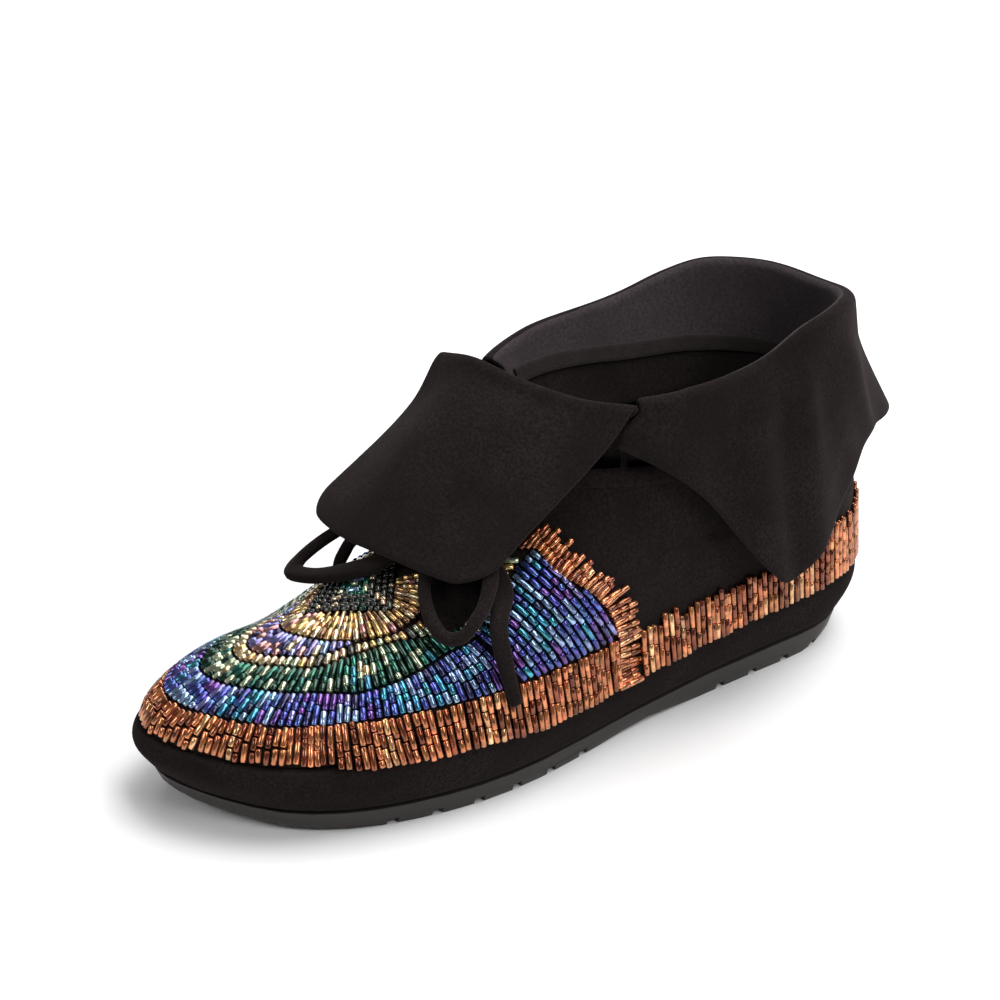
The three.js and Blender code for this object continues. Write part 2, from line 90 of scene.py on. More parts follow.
class BootSizes(bpy.types.PropertyGroup):
    """Sizes of what is sewn on the boot."""

    bead_diameter: length_setting("Bead diameter", "Thickness of a bugle bead", 0.00185)
    bead_length: length_setting("Bead length", "Usual length of a bugle bead", 0.0036)
    strand_pitch: length_setting("Strand pitch", "Distance between strands at a band's outer edge", 0.00222)
    vamp_fringe: length_setting("Vamp fringe", "Height of the copper fringe round the vamp", 0.0115)
    side_fringe: length_setting("Side fringe", "Length of the fringe behind the side panel", 0.0098)
    thong_width: length_setting("Thong width", "Width of the lace", 0.0048)
    thong_thickness: length_setting("Thong thickness", "Thickness of the lace", 0.0037)
    band_width: length_setting("Collar band", "Width of the band below the topline", 0.0058)
    seam_step: length_setting("Seam step", "How far the lower quarter stands over the upper one", 0.0005)


class BootColours(bpy.types.PropertyGroup):
    """Colours of the leather, rubber and beads."""

    suede: colour_setting("Suede", "Nap lying away from the light", 31, 26, 26)
    brushed: colour_setting("Brushed suede", "Nap brushed towards the light", 42, 36, 36)
    # Painted light: the same suede as outside, made lighter to stand in for the light that falls on the
    # inner wall of the shaft.
    painted_light_inside: colour_setting("Turned-in suede", "Suede on the inside of the shaft", 62, 56, 59)
    # Partly real, partly painted light: cut edges are greyer, and this colour also paints the highlight
    # along the edges of the flap and cuff.
    raw_edge: colour_setting("Raw edge", "Cut edges of the suede", 36, 31, 30)
    rubber: colour_setting("Rubber", "Outsole", 44, 40, 38)
    lining: colour_setting("Lining", "Insole and inner tape", 34, 28, 28)
    copper: colour_setting("Copper", "Fringe beads", 210, 132, 86)
    copper_deep: colour_setting("Deep copper", "Darker fringe beads", 142, 76, 44)
    copper_pale: colour_setting("Pale copper", "Lighter fringe beads", 236, 178, 128)
    blue: colour_setting("Blue", "Beads of the blue band", 78, 94, 172)
    violet: colour_setting("Violet", "Beads of the blue band", 112, 72, 154)
    aqua: colour_setting("Aqua", "Beads of the blue band", 66, 150, 178)
    sky: colour_setting("Sky", "Lightest beads of the blue band", 150, 178, 216)
    navy: colour_setting("Navy", "Darkest beads of the blue band", 48, 50, 92)
    green: colour_setting("Green", "Beads of the green band", 42, 112, 96)
    deep_green: colour_setting("Deep green", "Dark beads of the green band", 24, 66, 52)
    pale_green: colour_setting("Pale green", "Beads of the green band", 188, 200, 168)
    champagne: colour_setting("Champagne", "Beads of the pale band", 228, 206, 168)
    lilac: colour_setting("Lilac", "Beads of the front crescent", 140, 136, 198)
    rose: colour_setting("Rose", "Beads between gold and lilac", 198, 142, 138)
    gold: colour_setting("Gold", "Beads round the diamond", 222, 180, 118)
    bronze: colour_setting("Bronze", "Darker beads round the diamond", 118, 84, 52)
    gunmetal: colour_setting("Gunmetal", "Beads of the diamond", 78, 80, 74)
    floor: colour_setting("Floor", "Studio floor", 246, 246, 246)


def sizes():
    return bpy.context.scene.boot_sizes


def colours():
    return bpy.context.scene.boot_colours


# Materials


def shader(name):
    """A new material with its node tree and its surface shader."""
    material = bpy.data.materials.new(name)
    material.use_nodes = True
    tree = material.node_tree
    return material, tree, tree.nodes["Principled BSDF"]


def add_node(tree, kind, settings=None, **sockets):
    """A node with its settings, and its sockets set or linked by name."""
    node = tree.nodes.new(kind)
    for key, value in (settings or {}).items():
        setattr(node, key, value)
    fill_sockets(tree, node, **sockets)
    return node


def fill_sockets(tree, node, **sockets):
    """Sets or links the sockets of a node by name."""
    for key, value in sockets.items():
        fill_socket(tree, node.inputs[key.replace("_", " ")], value)


def fill_socket(tree, socket, value):
    """Links a socket to another, or sets its value."""
    if isinstance(value, bpy.types.NodeSocket):
        tree.links.new(value, socket)
    elif hasattr(value, "__len__") and len(value) == 3 and len(socket.default_value) == 4:
        socket.default_value = (*value, 1)
    else:
        socket.default_value = value


def object_place(tree):
    return add_node(tree, "ShaderNodeTexCoord").outputs["Object"]


def grain(tree, vector, scale, detail, distortion=0.0):
    """Cloudy noise in the object's own space, in features per metre."""
    node = add_node(
        tree, "ShaderNodeTexNoise", Vector=vector, Scale=scale, Detail=detail, Distortion=distortion
    )
    return node.outputs["Fac"]


def spread(tree, value, low, high, to_low=0.0, to_high=1.0):
    """A value stretched from one range to another and kept inside it."""
    node = add_node(
        tree,
        "ShaderNodeMapRange",
        Value=value,
        From_Min=low,
        From_Max=high,
        To_Min=to_low,
        To_Max=to_high,
    )
    return node.outputs["Result"]


# The colour sockets of a Mix node share their names with others, so they go by number.
MIX_FACTOR = 0
MIX_FIRST = 6
MIX_SECOND = 7
MIX_RESULT = 2


def blend_colours(tree, factor, first, second):
    """Two colours mixed by a factor."""
    node = add_node(tree, "ShaderNodeMix", {"data_type": "RGBA"})
    fill_socket(tree, node.inputs[MIX_FACTOR], factor)
    fill_socket(tree, node.inputs[MIX_FIRST], first)
    fill_socket(tree, node.inputs[MIX_SECOND], second)
    return node.outputs[MIX_RESULT]


def bump(tree, height, distance, strength, below=None):
    """A bump of a distance, over another bump where one is given."""
    node = add_node(tree, "ShaderNodeBump", Height=height, Distance=distance, Strength=strength)
    if below is not None:
        tree.links.new(below, node.inputs["Normal"])
    return node.outputs["Normal"]


def suede_finish(name, shade, brushed, nap=1.0, sheen=0.1):
    """Napped suede: brushed patches, short fibres and a soft sheen."""
    material, tree, surface = shader(name)
    where = object_place(tree)
    patches = spread(tree, grain(tree, where, scale=38, detail=5, distortion=1.0), 0.34, 0.68)
    flecks = spread(tree, grain(tree, where, scale=1100 * nap, detail=3), 0.3, 0.7)
    streaks = blend_colours(tree, patches, shade, brushed)
    deep = lit(shade, 0.72)
    tint = blend_colours(tree, flecks, deep, streaks)
    hide = bump(tree, grain(tree, where, scale=150, detail=3), distance=0.0005, strength=0.3)
    fibres = grain(tree, where, scale=1500 * nap, detail=3)
    fill_sockets(
        tree,
        surface,
        Base_Color=tint,
        Normal=bump(tree, fibres, distance=0.00012, strength=0.6, below=hide),
        Roughness=1.0,
        Specular_IOR_Level=0.0,
        Sheen_Weight=sheen,
        Sheen_Roughness=0.45,
        Sheen_Tint=(0.60, 0.52, 0.52, 1),
    )
    return material


def rubber_finish(name, shade):
    """Moulded rubber with a fine mat skin and scuffed patches."""
    material, tree, surface = shader(name)
    where = object_place(tree)
    scuffs = spread(tree, grain(tree, where, scale=60, detail=4, distortion=0.5), 0.4, 0.75)
    worn = lit(shade, 1.5)
    pores = grain(tree, where, scale=1500, detail=2)
    fill_sockets(
        tree,
        surface,
        Base_Color=blend_colours(tree, scuffs, shade, worn),
        Roughness=spread(tree, scuffs, 0, 1, 0.5, 0.68),
        Normal=bump(tree, pores, distance=0.0001, strength=0.5),
        Specular_IOR_Level=0.4,
    )
    return material


def lining_finish(name, shade):
    """Smooth lining leather with pores and fine wrinkles."""
    material, tree, surface = shader(name)
    where = object_place(tree)
    cells = add_node(tree, "ShaderNodeTexVoronoi", Vector=where, Scale=1300).outputs["Distance"]
    wrinkles = grain(tree, where, scale=240, detail=4, distortion=0.7)
    pale = lit(shade, 1.45)
    creases = bump(tree, wrinkles, distance=0.0004, strength=0.35)
    fill_sockets(
        tree,
        surface,
        Base_Color=blend_colours(tree, spread(tree, wrinkles, 0.35, 0.7), shade, pale),
        Normal=bump(tree, cells, distance=0.00015, strength=0.4, below=creases),
        Roughness=0.75,
        Specular_IOR_Level=0.2,
    )
    return material


def bead_finish(name, hue_swing):
    """Coated glass beads in their own colours, their hue and gloss shifting along each bead, with painted
    glints and shade: their brightness rises and falls along each bead.
    """
    material, tree, surface = shader(name)
    where = object_place(tree)
    glass = add_node(tree, "ShaderNodeVertexColor", {"layer_name": "glass"}).outputs["Color"]
    cloud = grain(tree, where, scale=420, detail=2)
    # Painted glints and shade: noise that lightens and darkens the bead's colour along its length.
    painted_glints = grain(tree, where, scale=480, detail=3)
    facets = grain(tree, where, scale=1100, detail=1)
    hue = add_node(
        tree,
        "ShaderNodeHueSaturation",
        Hue=spread(tree, cloud, 0.3, 0.7, 0.5 - hue_swing, 0.5 + hue_swing),
        Value=spread(tree, painted_glints, 0.32, 0.68, 0.45, 1.3),
        Color=glass,
    ).outputs["Color"]
    fill_sockets(
        tree,
        surface,
        Base_Color=hue,
        Roughness=spread(tree, cloud, 0.3, 0.7, 0.1, 0.26),
        Normal=bump(tree, facets, distance=0.00012, strength=0.5),
        Metallic=0.8,
        Coat_Weight=0.6,
        Coat_Roughness=0.06,
    )
    return material


def floor_finish(name, shade):
    """Mat studio floor with a faint unevenness."""
    material, tree, surface = shader(name)
    where = object_place(tree)
    mottle = grain(tree, where, scale=7, detail=3)
    dim = lit(shade, 0.985)
    tint = blend_colours(tree, mottle, dim, shade)
    fill_sockets(tree, surface, Base_Color=tint, Roughness=0.9, Specular_IOR_Level=0.1)
    return material


def finish_named(name):
    """The boot's material of a name, made the first time it is asked for."""
    if name in bpy.data.materials:
        return bpy.data.materials[name]
    tints = colours()
    shade = tuple(tints.suede)
    brushed = tuple(tints.brushed)
    cut = tuple(tints.raw_edge)
    inside = tuple(tints.painted_light_inside)
    makers = {
        "napped_suede": lambda: suede_finish(name, shade, brushed),
        "wrap_suede": lambda: suede_finish(name, shade, brushed, nap=1.2, sheen=0.05),
        "thong_suede": lambda: suede_finish(name, shade, brushed, nap=1.4),
        "raw_edge": lambda: suede_finish(name, cut, cut, nap=1.5),
        # Painted light: a lighter copy of the suede for the inner wall of the shaft, its brushed patches
        # lighter still.
        "shaft_suede": lambda: suede_finish(name, inside, lit(inside, 1.3)),
        "moulded_rubber": lambda: rubber_finish(name, tuple(tints.rubber)),
        "lining_leather": lambda: lining_finish(name, tuple(tints.lining)),
        "copper_beads": lambda: bead_finish(name, hue_swing=0.012),
        "iris_beads": lambda: bead_finish(name, hue_swing=0.035),
        "studio_floor": lambda: floor_finish(name, tuple(tints.floor)),
    }
    return makers[name]()


# Pieces


def new_piece(name, mesh, finishes, replaced=()):
    """An object of the boot from a mesh in place, with its materials."""
    piece = bpy.data.objects.new(name, mesh)
    bpy.context.scene.collection.objects.link(piece)
    for finish in finishes:
        mesh.materials.append(finish_named(finish))
    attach(piece, "root")
    if replaced:
        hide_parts(*replaced)
    return piece


def mesh_of(bm, name):
    """A smooth mesh from a bmesh, which is freed."""
    for face in bm.faces:
        face.smooth = True
    mesh = bpy.data.meshes.new(name)
    bm.to_mesh(mesh)
    bm.free()
    return mesh


MERGE_DISTANCE = 0.00002
PAIR_ANGLE = math.radians(50)
SHARP_ANGLE = math.radians(48)
SMOOTH_LEVELS = 2
ROUNDING_SEGMENTS = 2
# How firmly the sharp edges of each solid are kept in its subdivision.
CREASES = {"midsole": 0.45, "insole": 0.3, "upper": 0.5, "shaft_cuff": 0.4, "tongue_flap": 0.4}


def quads_of(node):
    """A merged copy of a CAD solid with its triangles paired into quads."""
    bm = bmesh.new()
    bm.from_mesh(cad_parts[node].data)
    bmesh.ops.remove_doubles(bm, verts=bm.verts, dist=MERGE_DISTANCE)
    bmesh.ops.join_triangles(
        bm, faces=bm.faces, angle_face_threshold=PAIR_ANGLE, angle_shape_threshold=math.pi
    )
    return bm


def crease_edges(bm, weight):
    """Keeps the sharp edges sharp in a subdivision."""
    layer = bm.edges.layers.float.new("crease_edge")
    for edge in bm.edges:
        if len(edge.link_faces) == 2 and edge.calc_face_angle(0) > SHARP_ANGLE:
            edge[layer] = weight


def smooth_copy(node, raw_edges=False):
    """A merged copy of a CAD solid after a smooth subdivision, its cut edges marked where asked."""
    bm = quads_of(node)
    if raw_edges:
        mark_raw_edges(bm)
    crease_edges(bm, CREASES[node])
    subdivide(bm)
    return bm


def subdivide(bm):
    """Puts a bmesh through a smooth subdivision."""
    mesh = bpy.data.meshes.new("draft")
    bm.to_mesh(mesh)
    draft = bpy.data.objects.new("draft", mesh)
    bpy.context.scene.collection.objects.link(draft)
    modifier = draft.modifiers.new("smooth", "SUBSURF")
    modifier.levels = SMOOTH_LEVELS
    modifier.render_levels = SMOOTH_LEVELS
    bm.clear()
    bm.from_object(draft, bpy.context.evaluated_depsgraph_get())
    bpy.data.objects.remove(draft)
    bpy.data.meshes.remove(mesh)


def round_edges(piece, angle, width):
    """Rounds the edges of a piece that are sharper than an angle."""
    bevel = piece.modifiers.new("rounded", "BEVEL")
    bevel.limit_method = "ANGLE"
    bevel.angle_limit = angle
    bevel.width = width
    bevel.segments = ROUNDING_SEGMENTS
    return bevel


def ease(low, high, value):
    """0 below low, 1 above high, and a smooth step between them."""
    share = min(1.0, max(0.0, (value - low) / (high - low)))
    return share * share * (3 - 2 * share)


# Stage

CAMERA_PLACE = (0.4755, -0.4148, 0.3269)
CAMERA_AIM = (-0.0111, -0.0891, 0.0602)
CAMERA_LENS = 76.66
FLOOR_SIZE = 8.0
FLOOR_CELLS = 8
# Softboxes: name, place, aim, width, height, power in watts.
SOFTBOXES = (
    ("top_box", (0.12, 0.55, 1.5), (0, -0.08, 0), 1.4, 1.4, 29),
    ("front_box", (-0.1, -1.2, 0.8), (0, -0.1, 0.05), 0.6, 0.4, 4),
    ("side_box", (1.1, 0.1, 0.9), (0, -0.03, 0.08), 0.5, 0.6, 6),
    ("far_box", (-1.7, 1.2, 1.5), (-1.3, 1.0, 0), 2.2, 2.2, 34),
)
WORLD_STRENGTH = 0.16


def aim_at(thing, where, target):
    """Puts a lamp or camera at a place, looking at a target."""
    direction = Vector(target) - Vector(where)
    thing.location = where
    thing.rotation_euler = direction.to_track_quat("-Z", "Y").to_euler()


class BOOT_OT_stage(bpy.types.Operator):
    """Adds the camera, the softboxes, the floor and the light of the room"""

    bl_idname = "boot.stage"
    bl_label = "Stage"

    def execute(self, context):
        scene = context.scene
        scene.view_settings.view_transform = "Standard"
        camera = bpy.data.objects.new("camera", bpy.data.cameras.new("camera"))
        camera.data.lens = CAMERA_LENS
        aim_at(camera, CAMERA_PLACE, CAMERA_AIM)
        scene.collection.objects.link(camera)
        scene.camera = camera
        for name, where, target, width, height, power in SOFTBOXES:
            lamp = bpy.data.lights.new(name, "AREA")
            lamp.shape = "RECTANGLE"
            lamp.size = width
            lamp.size_y = height
            lamp.energy = power
            softbox = bpy.data.objects.new(name, lamp)
            aim_at(softbox, where, target)
            scene.collection.objects.link(softbox)
        world = bpy.data.worlds.new("room")
        world.use_nodes = True
        room = world.node_tree.nodes["Background"]
        fill_sockets(world.node_tree, room, Color=(1, 1, 1, 1), Strength=WORLD_STRENGTH)
        scene.world = world
        bm = bmesh.new()
        bmesh.ops.create_grid(bm, x_segments=FLOOR_CELLS, y_segments=FLOOR_CELLS, size=FLOOR_SIZE / 2)
        mesh = mesh_of(bm, "floor")
        mesh.materials.append(finish_named("studio_floor"))
        floor = bpy.data.objects.new("floor", mesh)
        scene.collection.objects.link(floor)
        return {"FINISHED"}


# Lines on the leather

# A line is swept by rays that aim from outside at a focus over the floor, at rises in degrees.
SWEEP_REACH = 0.2
SWEEP_FOCUS = 0.012
SWEEP_STEP = 0.5
SWEEP_LOWEST = 2.0
SWEEP_HIGHEST = 88
SWEEP_HALVINGS = 7
NO_LENGTH = 1e-12


class Skin:
    """The outside of a piece, found by casting rays at it."""

    def __init__(self, piece):
        self.tree = BVHTree.FromObject(piece, bpy.context.evaluated_depsgraph_get())

    def hit(self, focus, heading, rise):
        """The first point towards the focus from outside, at a rise in degrees."""
        angle = math.radians(rise)
        way = heading * math.cos(angle) + UP * math.sin(angle)
        return self.tree.ray_cast(focus + way * SWEEP_REACH, -way, SWEEP_REACH)[:2]

    def edge_rise(self, focus, heading, hitting, missing):
        """The last rise that still hits, between one that does and one that does not."""
        for _ in range(SWEEP_HALVINGS):
            middle = (hitting + missing) / 2
            if self.hit(focus, heading, middle)[0] is None:
                missing = middle
            else:
                hitting = middle
        return hitting

    def line(self, middle, heading, bow=None):
        """The leather from the sole upwards in the upright plane through middle along heading.

        bow gives another heading by the plan distance from the middle.
        """
        focus = Vector((middle.x, middle.y, SWEEP_FOCUS))
        rises = []
        rise = SWEEP_LOWEST
        while rise < SWEEP_HIGHEST:
            if self.hit(focus, heading, rise)[0] is not None:
                rises.append(rise)
            elif rises:
                break
            rise += SWEEP_STEP
        rises.insert(0, self.edge_rise(focus, heading, rises[0], rises[0] - SWEEP_STEP))
        if rise < SWEEP_HIGHEST:
            rises.append(self.edge_rise(focus, heading, rises[-1], rise))
        hits = [self.hit(focus, heading, rise) for rise in rises]
        if bow is not None:
            level = Vector((1, 1, 0))
            ways = [bow(((hit[0] - focus) * level).length) for hit in hits]
            hits = [self.hit(focus, way, rise) for way, rise in zip(ways, rises)]
            hits = [hit for hit in hits if hit[0] is not None]
        return LeatherLine(middle, hits)

    def nearest(self, point):
        """The nearest point and its normal."""
        return self.tree.find_nearest(point)[:2]


class LeatherLine:
    """Points up the leather, by their distance along it from the sole."""

    def __init__(self, middle, hits):
        self.points = np.array([hit[0] for hit in hits])
        self.normals = np.array([hit[1] for hit in hits])
        steps = np.linalg.norm(np.diff(self.points, axis=0), axis=1)
        self.along = np.concatenate(([0.0], np.cumsum(steps)))
        plan = np.linalg.norm(self.points[:, :2] - np.array(middle)[:2], axis=1)
        self.reach = np.minimum.accumulate(plan)

    def spot(self, along):
        """The point and normal at a distance along the line."""
        point = [np.interp(along, self.along, self.points[:, axis]) for axis in range(3)]
        normal = [np.interp(along, self.along, self.normals[:, axis]) for axis in range(3)]
        return Vector(point), Vector(normal).normalized()

    def distance_to(self, point):
        """How far a point is from the line."""
        starts = self.points[:-1]
        runs = np.diff(self.points, axis=0)
        squares = np.maximum(np.sum(runs * runs, axis=1), NO_LENGTH)
        shares = np.sum((np.array(point) - starts) * runs, axis=1) / squares
        nearest = starts + runs * np.clip(shares, 0, 1)[:, None]
        return float(np.linalg.norm(nearest - np.array(point), axis=1).min())

    def along_at(self, reach):
        """The distance along the line where its plan distance from the middle is reach."""
        return float(np.interp(-reach, -self.reach, self.along))


# Lace

ROUTE_STEP = 0.0011
ROUTE_CUTS = 16
CORD_POINTS = 30
THONG_SIDES = 14
# Below 1 the thong's section is squarer than an ellipse.
THONG_SQUARENESS = 0.72
# Its width swells and narrows a little along it, and a tapered end narrows and thins.
THONG_WAVE = 0.05
THONG_WAVE_RATE = 17
TIP_NARROWS = 0.45
TIP_THINS = 0.8
EVENED_POINTS = 4
# Routes of the lace: points by side, station and height.
LACE_BAR = (
    (0.0200, 0.1340, 0.0762),
    (0.0150, 0.1410, 0.0746),
    (0.0080, 0.1480, 0.0722),
    (0.0000, 0.1525, 0.0708),
    (-0.0070, 0.1480, 0.0710),
    (-0.0130, 0.1410, 0.0716),
    (-0.0170, 0.1340, 0.0732),
)
LOOP_OUTER = (
    (0.0078, 0.1580, 0.0695),
    (0.0120, 0.1630, 0.0665),
    (0.0160, 0.1680, 0.0620),
    (0.0200, 0.1715, 0.0575),
    (0.0250, 0.1740, 0.0540),
    (0.0310, 0.1755, 0.0510),
    (0.0365, 0.1750, 0.0490),
    (0.0400, 0.1715, 0.0500),
    (0.0400, 0.1670, 0.0540),
    (0.0380, 0.1628, 0.0570),
    (0.0335, 0.1580, 0.0624),
    (0.0260, 0.1550, 0.0670),
    (0.0180, 0.1545, 0.0705),
    (0.0100, 0.1560, 0.0725),
)
LOOP_INNER = (
    (-0.0078, 0.1585, 0.0698),
    (-0.0130, 0.1650, 0.0670),
    (-0.0188, 0.1725, 0.0618),
    (-0.0226, 0.1800, 0.0568),
    (-0.0244, 0.1868, 0.0518),
    (-0.0214, 0.1908, 0.0501),
    (-0.0145, 0.1893, 0.0511),
    (-0.0077, 0.1860, 0.0534),
    (-0.0020, 0.1815, 0.0560),
    (0.0020, 0.1765, 0.0582),
    (0.0035, 0.1710, 0.0612),
    (0.0035, 0.1655, 0.0646),
)
END_OUTER = (
    (0.0090, 0.1550, 0.0668),
    (0.0160, 0.1565, 0.0656),
    (0.0240, 0.1550, 0.0630),
    (0.0305, 0.1538, 0.0596),
    (0.0360, 0.1556, 0.0564),
    (0.0400, 0.1592, 0.0538),
    (0.0435, 0.1620, 0.0505),
    (0.0470, 0.1630, 0.0450),
    (0.0504, 0.1630, 0.0380),
    (0.0522, 0.1620, 0.0315),
)
END_INNER = (
    (-0.0090, 0.1560, 0.0660),
    (-0.0120, 0.1626, 0.0629),
    (-0.0135, 0.1692, 0.0608),
    (-0.0150, 0.1745, 0.0582),
    (-0.0165, 0.1765, 0.0541),
    (-0.0180, 0.1778, 0.0499),
    (-0.0190, 0.1787, 0.0462),
)
KNOT_MIDDLE = (0.0, 0.1580, 0.0695)
KNOT_LENGTH = 0.0100
KNOT_RADIUS = 0.0024
KNOT_TURNS = 2.3
KNOT_STEPS = 63


def smooth_route(route):
    """Evenly spaced points on a smooth curve through a route."""
    marks = [place(*mark) for mark in route]
    marks = [marks[0] * 2 - marks[1], *marks, marks[-1] * 2 - marks[-2]]
    fine = []
    for i in range(1, len(marks) - 2):
        before, start, end, after = marks[i - 1 : i + 3]
        for step in range(ROUTE_CUTS):
            t = step / ROUTE_CUTS
            fine.append(
                0.5
                * (
                    2 * start
                    + (end - before) * t
                    + (2 * before - 5 * start + 4 * end - after) * t**2
                    + (3 * start - before - 3 * end + after) * t**3
                )
            )
    fine.append(marks[-2])
    return even_points(fine, ROUTE_STEP)


def even_points(points, step):
    """The same line with its points about a step apart."""
    line = np.array(points)
    along = np.concatenate(([0.0], np.cumsum(np.linalg.norm(np.diff(line, axis=0), axis=1))))
    marks = np.linspace(0, along[-1], max(2, round(along[-1] / step) + 1))
    return [Vector([np.interp(mark, along, line[:, axis]) for axis in range(3)]) for mark in marks]


def line_length(points):
    return sum((b - a).length for a, b in zip(points, points[1:]))


def sweep_thong(name, line, normals, widths, thicknesses):
    """A flat thong with rounded edges along a line, its flat side along the normals."""
    frames = []
    for i, point in enumerate(line):
        ahead = (line[min(i + 1, len(line) - 1)] - line[max(i - 1, 0)]).normalized()
        across = ahead.cross(normals[i]).normalized() * widths[i] / 2
        over = across.cross(ahead).normalized() * thicknesses[i] / 2
        frames.append(
            Matrix(
                (
                    (across.x, over.x, ahead.x, point.x),
                    (across.y, over.y, ahead.y, point.y),
                    (across.z, over.z, ahead.z, point.z),
                    (0, 0, 0, 1),
                )
            )
        )
    bm = bmesh.new()
    ring = bmesh.ops.create_circle(bm, cap_ends=True, radius=1, segments=THONG_SIDES)["verts"]
    for vert in ring:
        vert.co.x = math.copysign(abs(vert.co.x) ** THONG_SQUARENESS, vert.co.x)
        vert.co.y = math.copysign(abs(vert.co.y) ** THONG_SQUARENESS, vert.co.y)
    bmesh.ops.transform(bm, matrix=frames[0], verts=ring)
    edges = list(bm.edges)
    for before, after in zip(frames, frames[1:]):
        made = bmesh.ops.extrude_edge_only(bm, edges=edges)["geom"]
        edges = [item for item in made if isinstance(item, bmesh.types.BMEdge)]
        verts = [item for item in made if isinstance(item, bmesh.types.BMVert)]
        bmesh.ops.transform(bm, matrix=after @ before.inverted(), verts=verts)
    bmesh.ops.edgeloop_fill(bm, edges=edges)
    bmesh.ops.recalc_face_normals(bm, faces=bm.faces)
    return mesh_of(bm, name)


def lying_normals(skin, line):
    """Normals of the leather under a line, evened out along it."""
    raw = [skin.nearest(point)[1] for point in line]
    evened = []
    for i in range(len(raw)):
        near = raw[max(0, i - EVENED_POINTS) : i + EVENED_POINTS + 1]
        evened.append(sum(near, Vector()).normalized())
    return evened


def lay_thong(name, skin, route, widen, taper, node):
    """A piece of lace lying flat along a route, its end tapered where asked."""
    line = smooth_route(route)
    count = len(line)
    widths = []
    thicknesses = []
    for i in range(count):
        share = i / (count - 1)
        wave = 1 + THONG_WAVE * math.sin(share * THONG_WAVE_RATE + len(name))
        tip = 1 - taper * ease(TIP_NARROWS, 1.0, share)
        widths.append(sizes().thong_width * widen * wave * tip)
        thin = 1 - max(0, taper) * ease(TIP_THINS, 1.0, share)
        thicknesses.append(sizes().thong_thickness * thin)
    mesh = sweep_thong(name, line, lying_normals(skin, line), widths, thicknesses)
    piece = new_piece(name, mesh, ["thong_suede"], [node])
    return piece, line


class BOOT_OT_lace(bpy.types.Operator):
    """Runs the lace across the throat and ties it in a bow with two ends"""

    bl_idname = "boot.lace"
    bl_label = "Lace"

    def execute(self, context):
        skin = Skin(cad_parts["upper"])
        lay_thong("lace_across", skin, LACE_BAR, 1.0, 0.0, "lace_bar")
        middle = place(*KNOT_MIDDLE)
        line = []
        normals = []
        for step in range(KNOT_STEPS + 1):
            share = step / KNOT_STEPS
            angle = share * KNOT_TURNS * math.tau
            outward = Vector((0, math.cos(angle), math.sin(angle)))
            line.append(middle + outward * KNOT_RADIUS + Vector((KNOT_LENGTH * (share - 0.5), 0, 0)))
            normals.append(outward)
        widths = [sizes().thong_width] * len(line)
        thicknesses = [sizes().thong_thickness] * len(line)
        knot = new_piece(
            "lace_wrap",
            sweep_thong("lace_wrap", line, normals, widths, thicknesses),
            ["thong_suede"],
            ["lace_knot"],
        )
        # Piece, route, how much it is widened and tapered, solid, far end.
        runs = (
            ("bow_loop_outer", LOOP_OUTER, 0.78, -0.42, "lace_loop_outer", "knot"),
            ("bow_loop_inner", LOOP_INNER, 1.25, 0.0, "lace_loop_inner", "knot"),
            ("bow_end_outer", END_OUTER, 1.2, 0.3, "lace_end_outer", "bare"),
            ("bow_end_inner", END_INNER, 1.0, 0.5, "lace_end_inner", "bare"),
        )
        for name, route, widen, taper, node, far_end in runs:
            piece, line = lay_thong(name, skin, route, widen, taper, node)
            tuple(line[0])
            line_length(line)
            [tuple(point) for point in even_points(line, line_length(line) / CORD_POINTS)]
        return {"FINISHED"}


# Sole

FLAT_ANGLE = math.radians(1.5)
RUBBER_EDGE_ANGLE = math.radians(40)
RUBBER_ROUNDING = 0.0006


class BOOT_OT_sole(bpy.types.Operator):
    """Finishes the rubber outsole, the wrapped midsole and the insole"""

    bl_idname = "boot.sole"
    bl_label = "Sole"

    def execute(self, context):
        bm = bmesh.new()
        bm.from_mesh(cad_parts["outsole"].data)
        bmesh.ops.remove_doubles(bm, verts=bm.verts, dist=MERGE_DISTANCE)
        bmesh.ops.dissolve_limit(
            bm, angle_limit=FLAT_ANGLE, verts=bm.verts, edges=bm.edges, delimit={"NORMAL"}
        )
        rubber = mesh_of(bm, "sole_rubber")
        outsole = new_piece("sole_rubber", rubber, ["moulded_rubber"], ["outsole"])
        bevel = round_edges(outsole, RUBBER_EDGE_ANGLE, RUBBER_ROUNDING)
        bevel.harden_normals = True
        midsole = mesh_of(smooth_copy("midsole"), "sole_wrap")
        new_piece("sole_wrap", midsole, ["wrap_suede"], ["midsole"])
        insole = mesh_of(smooth_copy("insole"), "foot_bed")
        new_piece("foot_bed", insole, ["lining_leather"], ["insole"])
        return {"FINISHED"}


# Upper

# The seam between the upper and lower quarter, by station and height.
SEAM_STATIONS = (0.0, 0.040, 0.073, 0.0875, 0.1048, 0.1143, 0.125)
SEAM_HEIGHTS = (0.0510, 0.0520, 0.0535, 0.0554, 0.0567, 0.0560, 0.0535)
SEAM_SOFTNESS = 0.0006
QUARTER_END = 0.118
QUARTER_FADE = 0.004
# A vertex faces outwards when it faces away from a point by the middle line at its own height:
# where that line lies, and how much of the vertex's own side distance the point takes.
SHELL_MIDDLE = 0.002
SHELL_SHARE = 0.1
# A soft hollow of the vamp in front of the diamond, on the inner side.
VAMP_DIP = {"side": -0.019, "station": 0.1985, "across": 0.016, "along": 0.013, "depth": 0.0030}
VAMP_DIP_HEIGHTS = (0.024, 0.034)
# The collar band runs round the shaft's axis, just below the topline.
COLLAR_AXIS = place(0.001, 0.0735, 0)
COLLAR_COLUMNS = 160
COLLAR_ROWS = 6
COLLAR_BELOW = 0.0009
COLLAR_LIFT = 0.0001
COLLAR_THICKNESS = 0.0007
BAND_EDGE_ANGLE = math.radians(50)
BAND_ROUNDING = 0.35


